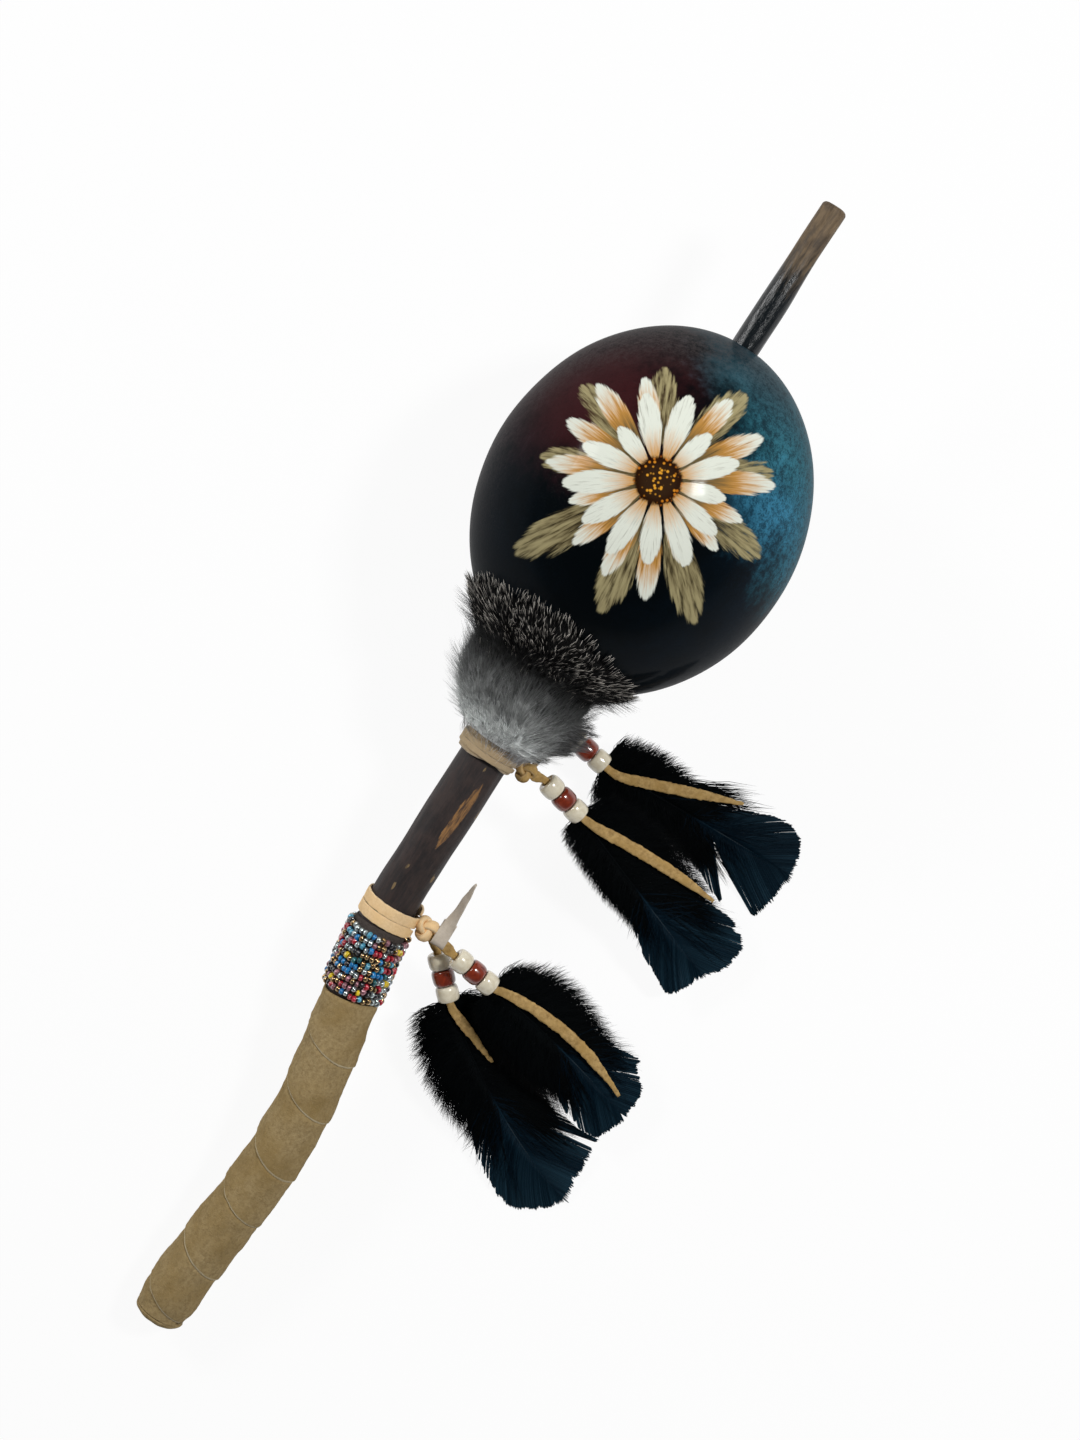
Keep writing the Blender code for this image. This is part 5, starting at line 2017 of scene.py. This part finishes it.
    def down(self, side: float) -> Surface:
        """Loose down of one side: fine barbs that stand out from the quill in soft curves.

        Roots lie on the lower part of the quill. Each barb's angle, length and lift are random, and
        it waves with a sine of its own.

        Args:
            side: 1 for the left and -1 for the right.

        Returns:
            The barbs.
        """
        draw = np.random.default_rng(self.form.seed * 10 + (3 if side > 0 else 4))
        count = self.down_barbs
        root = draw.uniform(0.0, 1.0, count) ** 1.15 * (self.form.firm_from + 0.05)
        fringe = draw.random(count) < self.fringe_share
        root = np.where(fringe, draw.uniform(self.form.firm_from, self.fringe_end, count), root)
        turn = np.interp(root, (0.0, 0.20, 0.7), (104.0, 68.0, 46.0))
        angle = np.radians(np.minimum(turn + draw.normal(0.0, 16.0, count), 114.0))
        length = self.reach(np.clip(root + 0.10, 0, 1), side) * draw.uniform(0.74, 1.08, count)
        length = length * np.where(fringe, 1.16, 1.0)
        for place, opening in self.form.splits:
            apart = (np.abs(root - abs(place)) < 18 * opening) & (np.sign(place) == side)
            length = length * np.where(apart & fringe, 0.4, 1.0)
        spread = (length / np.sin(np.maximum(angle, 0.6)) ** 0.6)[:, None]
        broad = np.ones(count)
        if self.form.tuft and self.form.tuft[0] == side:
            few = slice(0, self.tuft_barbs)
            _, place, lean, reach = self.form.tuft
            root[few] = place + draw.normal(0.0, 0.045, self.tuft_barbs)
            angle[few] = np.radians(lean + draw.normal(0.0, 4.0, self.tuft_barbs))
            spread[few, 0] = reach * draw.uniform(0.70, 1.0, self.tuft_barbs)
            broad[few] = 1.7
        across, along = np.array(self.form.ends).T
        limit = np.interp(side * spread[:, 0] * np.sin(angle), across, along) - root * self.length
        spread = spread * np.clip(limit / (spread[:, 0] * (np.cos(angle) + 0.22)), 0.3, 1.0)[:, None]
        tau = np.linspace(0.0, 1.0, self.down_points)[None]
        wave = draw.normal(0.0, 0.060, (count, 1)) * np.sin(tau * 5.0 + draw.uniform(0, 6, (count, 1)))
        x = root[:, None] * self.length + spread * (np.cos(angle)[:, None] * tau + 0.22 * tau ** 2 + wave)
        y = side * spread * np.sin(angle)[:, None] * (tau - 0.08 * tau ** 2)
        lift = draw.normal(0.0, 0.0010, (count, 1)) * tau
        lift = lift + draw.normal(0.0, 0.0004, (count, 1)) * np.sin(tau * 4)
        lift = np.clip(lift, -0.0010, 0.0009)
        lines = self.settled(x, y, lift)
        width = broad[:, None] * draw.uniform(0.00013, 0.00028, (count, 1)) * (1.0 - 0.74 * tau)
        facing = unit(draw.normal(0.0, 0.4, (count, 3)) + UP)
        layers = {"firm": 0.8 * fringe[:, None] * np.ones_like(width), "gloss": np.zeros_like(width)}
        return Surface.strands(lines, width, 0.5 * width, facing, layers)


DROPS = (
    Drop("collar_low",
         ((0.0006, -0.0012, -0.0031), (0.0031, -0.0018, -0.0126), (0.0080, -0.0022, -0.0215),
          (0.0150, -0.0012, -0.0262), (0.0196, -0.0018, -0.0272), (0.0210, -0.0052, -0.0276)),
         azimuth=-10.0, tip_height=0.0036, feather_yaw=13.0, feather_length=0.0880,
         tail_yaw=27.0, tail_length=0.0570, tail_bow=0.0,
         form=FeatherForm(
             left=(0.006, 0.0175, 0.0190, 0.0145, 0.0105, 0.0105, 0.0165, 0.0185, 0.0185),
             right=(0.006, 0.018, 0.0220, 0.0220, 0.0200, 0.0205, 0.0240, 0.0255, 0.0255),
             ends=((-0.027, 0.074), (-0.020, 0.082), (-0.011, 0.0845), (0.0, 0.0855), (0.008, 0.085),
                   (0.014, 0.082), (0.018, 0.074)),
             bend=-0.0015, firm_from=0.43, splits=((-0.55, 0.0095), (-0.86, 0.0016)), seed=1,
             tuft=(1.0, 0.24, 34.0, 0.037))),
    Drop("collar_high",
         ((0.0003, -0.0032, -0.0008), (0.0006, -0.0055, -0.0017), (0.0010, -0.0079, -0.0026)),
         azimuth=-12.5, tip_height=0.0130, feather_yaw=-8.0, feather_length=0.0840,
         tail_yaw=11.5, tail_length=0.0640, tail_bow=0.0015,
         form=FeatherForm(
             left=(0.006, 0.018, 0.024, 0.0270, 0.0265, 0.0250, 0.0225, 0.0200, 0.0195),
             right=(0.004, 0.0125, 0.0140, 0.0145, 0.0130, 0.0125, 0.0135, 0.0150, 0.0155),
             ends=((-0.017, 0.079), (-0.014, 0.082), (-0.008, 0.083), (0.001, 0.0832), (0.005, 0.0855),
                   (0.010, 0.0865), (0.015, 0.0865), (0.019, 0.0845), (0.0215, 0.080)),
             bend=0.0010, firm_from=0.47, splits=((0.86, 0.0012), (-0.80, 0.0008)), seed=2)),
    Drop("grip_low",
         ((-0.0008, -0.0016, -0.0030), (-0.0022, -0.0036, -0.0080), (-0.0038, -0.0055, -0.0103),
          (-0.0060, -0.0080, -0.0112)),
         azimuth=-44.0, tip_height=0.0036, feather_yaw=5.5, feather_length=0.0940,
         tail_yaw=20.0, tail_length=0.0300, tail_bow=0.0,
         form=FeatherForm(
             left=(0.006, 0.018, 0.0230, 0.0240, 0.0240, 0.0255, 0.0285, 0.0290, 0.0290),
             right=(0.006, 0.0205, 0.0245, 0.0240, 0.0200, 0.0195, 0.0195, 0.0205, 0.0200),
             ends=((-0.023, 0.083), (-0.021, 0.086), (-0.016, 0.0915), (-0.006, 0.0935), (0.0, 0.092),
                   (0.0075, 0.0865), (0.019, 0.079), (0.0275, 0.073), (0.030, 0.070)),
             bend=0.0160, firm_from=0.45, splits=((0.52, 0.0045), (-0.93, 0.0012)), seed=3)),
    Drop("grip_high",
         ((-0.0005, -0.0032, 0.0), (-0.0014, -0.0075, 0.0003), (-0.0029, -0.0140, -0.0008)),
         azimuth=-8.5, tip_height=0.0130, feather_yaw=-1.0, feather_length=0.0740,
         tail_yaw=-1.0, tail_length=0.0670, tail_bow=0.0050,
         form=FeatherForm(
             left=(0.006, 0.0175, 0.0255, 0.0245, 0.0210, 0.0200, 0.0195, 0.0165, 0.0135),
             right=(0.006, 0.017, 0.0220, 0.0235, 0.0210, 0.0175, 0.0160, 0.0155, 0.0160),
             ends=((-0.016, 0.068), (-0.013, 0.0735), (-0.002, 0.0755), (0.009, 0.0750), (0.013, 0.0725),
                   (0.0165, 0.065)),
             bend=-0.0050, firm_from=0.48, splits=((0.66, 0.0015), (-0.55, 0.0025)), seed=4)),
)


@dataclass
class Tag:
    """Bare strip folded over a drop's neck: a short arm below and a long pointed arm above."""

    drop: Drop
    half_width: float = 0.0028
    half_thick: float = 0.00022
    long_arm: float = 0.0265
    short_arm: float = 0.0080
    rise: float = 0.0125
    from_knot: float = 0.0070
    point_share: float = 0.15
    swing: float = 0.22
    twist: float = 0.85

    def build(self, finish: Material) -> None:
        """The strip: a flat section along the fold's line, narrowing to the long arm's point.

        The line runs up the short arm, round half a circle and along a parabola that rises, and the
        long arm turns on its line towards its point.

        Args:
            finish: the paper.
        """
        drop = self.drop
        neck = smooth_line(np.array(drop.route), 0.0005)
        seat = neck[np.argmin(np.abs(np.linalg.norm(neck[:, :2], axis=1) - self.from_knot))]
        heading = neck[-1] - neck[0]
        clear = drop.lace_radius + 2 * GAP + self.half_thick
        fold = math.pi / 2 + np.linspace(0.0, math.pi, 18)
        share = np.linspace(0.0, 1.0, 30)[1:]
        short = np.linspace(self.short_arm, 0.0, 8)[:-1]
        x = np.concatenate([short, clear * np.cos(fold), self.long_arm * share])
        below = np.full(len(short), -clear)
        z = np.concatenate([below, -clear * np.sin(fold), clear + self.rise * share ** 2])
        before = len(short) + len(fold)
        width = np.concatenate([np.ones(before), 1 - (1 - self.point_share) * share ** 3])
        turn = math.atan2(heading[0], -heading[1]) + self.swing
        ahead = np.array((math.cos(turn), math.sin(turn), 0.0))
        across = np.array((-math.sin(turn), math.cos(turn), 0.0))
        path = drop.start + seat + x[:, None] * ahead + z[:, None] * UP
        slope = unit(np.gradient(path, axis=0))
        facing = np.cross(slope, np.broadcast_to(across, slope.shape))
        roll = np.concatenate([np.zeros(before), self.twist * ease(share, 0.0, 0.5)])[:, None]
        facing = np.cos(roll) * facing + np.sin(roll) * across
        thick = np.full(len(x), self.half_thick)
        rings, _ = ribbon_rings(path, facing, self.half_width * width, thick, 16, 8.0)
        rings = rings + 0.00015 * ripple(rings, 0.009, 95)[..., None] * facing[:, None]
        Surface.swept(rings).piece("bare_tag", finish, f"{drop.name}_neck", "tag", ["tag_strip"])


# Pieces that keep their solids


def dress_node(name: str, finish: Material) -> None:
    """Give a solid of the frame its finish.

    Args:
        name: the solid's name.
        finish: its material.
    """
    node = frame["nodes"][name]
    node.data.materials.clear()
    node.data.materials.append(finish)
    LOG.info("%s: kept, dressed in %s", name, finish.name)


def dress_inner_pieces() -> None:
    """Seals and pellets, whose solids are the right shape."""
    putty = Plain("dark_putty", (0.010, 0.011, 0.012), (0.028, 0.026, 0.024), 500.0, 0.45).make()
    dress_node("top_seal", putty)
    dress_node("neck_plug", Plain("cork", (0.36, 0.22, 0.11), (0.50, 0.34, 0.19), 420.0).make())
    husk = Plain("seed_husk", (0.40, 0.25, 0.09), (0.58, 0.40, 0.19), 600.0, 0.5).make()
    for number in range(1, 7):
        dress_node(f"pellet_{number}", husk)


# Studio


@dataclass
class Studio:
    """White table, soft light and a camera that looks straight down."""

    line: StickLine
    camera_place: Place = (0.0314, -0.0100, 0.9500)
    focal_px: float = 2413.0
    frame_px: float = 1440.0
    sensor: float = 36.0
    floor_size: float = 6.0
    floor_drop: float = 0.0006

    def build_camera(self) -> None:
        """The camera, with the focal length measured in the picture's pixels."""
        data = bpy.data.cameras.new("camera")
        data.sensor_width = self.sensor
        data.lens = self.focal_px / self.frame_px * self.sensor
        data.clip_start = 0.01
        item = bpy.data.objects.new("camera", data)
        item.location = self.camera_place
        item.rotation_euler = (0.0, 0.0, -VIEW_TURN)
        bpy.context.scene.collection.objects.link(item)
        bpy.context.scene.camera = item

    def build(self) -> None:
        """Floor, world and lamps."""
        self.build_floor()
        self.build_world()
        right, top = VIEW_RIGHT, VIEW_TOP
        self.lamp("key", 0.52 * right + 0.06 * top + 0.85 * UP, 1.10, 0.16, 8.5)
        self.lamp("window", -0.62 * right + 0.50 * top + 0.60 * UP, 1.30, 0.30, 8.0)
        bpy.context.scene.view_settings.view_transform = "Standard"

    def lamp(self, name: str, direction: Array, distance: float, size: float, power: float) -> None:
        """A square area lamp aimed at the gourd.

        Args:
            name: its name.
            direction: where it stands, as seen from the gourd.
            distance: how far off it stands.
            size: length of its side.
            power: its power in watts.
        """
        data = bpy.data.lights.new(name, "AREA")
        data.size = size
        data.energy = power
        item = bpy.data.objects.new(name, data)
        bpy.context.scene.collection.objects.link(item)
        back = unit(direction)
        item.location = self.line.middle + back * distance
        beside = unit(np.cross(VIEW_TOP, back))
        above = np.cross(back, beside)
        turn = np.eye(4)
        turn[:3, :3] = np.stack([beside, above, back], axis=1)
        turn[:3, 3] = item.location
        item.matrix_world = Matrix(turn.tolist())

    def build_floor(self) -> None:
        """A white table that keeps a soft shadow."""
        s = Shader("white_table")
        half = self.floor_size / 2
        mesh = bpy.data.meshes.new("floor")
        corners = [(-half, -half), (half, -half), (half, half), (-half, half)]
        mesh.from_pydata([(x, y, -self.floor_drop) for x, y in corners], [], [(0, 1, 2, 3)])
        path = s.node("ShaderNodeLightPath")
        glow = s.node("ShaderNodeEmission", inputs={"Color": (1.0, 1.0, 1.0), "Strength": 1.0})
        mirrored = s.math("MAXIMUM", s.node("ShaderNodeLightPath", output=3),
                          s.node("ShaderNodeLightPath", output=6))
        seen = s.math("MAXIMUM", path, mirrored)
        s.done(Base_Color=(0.90, 0.90, 0.90), Roughness=0.9, Specular_IOR_Level=0.1)
        body = Socket(s, s.closing.outputs[0])
        mixed = s.node("ShaderNodeMixShader", inputs={0: seen * 0.93, 1: body, 2: glow})
        s.tree.links.new(mixed.output, s.tree.nodes["Material Output"].inputs["Surface"])
        mesh.materials.append(s.owner)
        item = bpy.data.objects.new("floor", mesh)
        bpy.context.scene.collection.objects.link(item)

    def build_world(self) -> None:
        """A room that is pale round the horizon and dim overhead."""
        s = Shader("room", world=True)
        height = s.node("ShaderNodeSeparateXYZ", inputs={0: s.node("ShaderNodeTexCoord")}, output=2)
        light = s.ramp(height, [(0.0, (0.85, 0.85, 0.85)), (0.10, (0.72, 0.72, 0.72)),
                                (0.24, (0.22, 0.22, 0.23)), (0.55, (0.09, 0.09, 0.095)),
                                (1.0, (0.05, 0.05, 0.055))])
        bpy.context.scene.world = s.done(Color=light)


def main() -> None:
    """Build the rattle's pieces in order, then the studio."""
    logging.basicConfig(level=logging.INFO, format="%(name)s %(message)s")
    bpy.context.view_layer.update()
    line = StickLine()
    studio = Studio(line)
    studio.build_camera()

    leather = DROP_LEATHER.make()
    tie_leather = TIE_LEATHER.make()
    finishes = {
        "leather": leather,
        "pearl": Pearl("pearl_bead", (0.71, 0.63, 0.46), (0.82, 0.76, 0.60)).make(),
        "red": Pearl("red_bead", (0.245, 0.030, 0.008), (0.150, 0.016, 0.005)).make(),
        "plume": Plume().make(),
    }
    for drop in DROPS:
        drop.build(finishes)
    paper = Plain("bare_paper", (0.50, 0.43, 0.345), (0.60, 0.53, 0.44), 300.0, 0.75, 0.0001).make()
    Tag(DROPS[-1]).build(paper)

    gourd = Gourd(line)
    gourd.build()
    Stick(line).build()
    FurCollar(line, gourd).build()
    LaceTie(line, "collar", 0.1040, 0.0024, 0.0117, 0.0012, 0.00045, "collar_low_swing",
            0.0034, 0.0021).build(HEM_HIDE.make(), leather)
    LaceTie(line, "grip", 0.1765, 0.0045, 0.01045, 0.0022, 0.0005, "grip_low_swing",
            0.0038, 0.0024, 0.0010).build(tie_leather, tie_leather)
    BeadBand(line, 0.1828).build()
    Grip(line, 0.2127).build()
    dress_inner_pieces()
    studio.build()


if __name__ == "__main__":
    main()
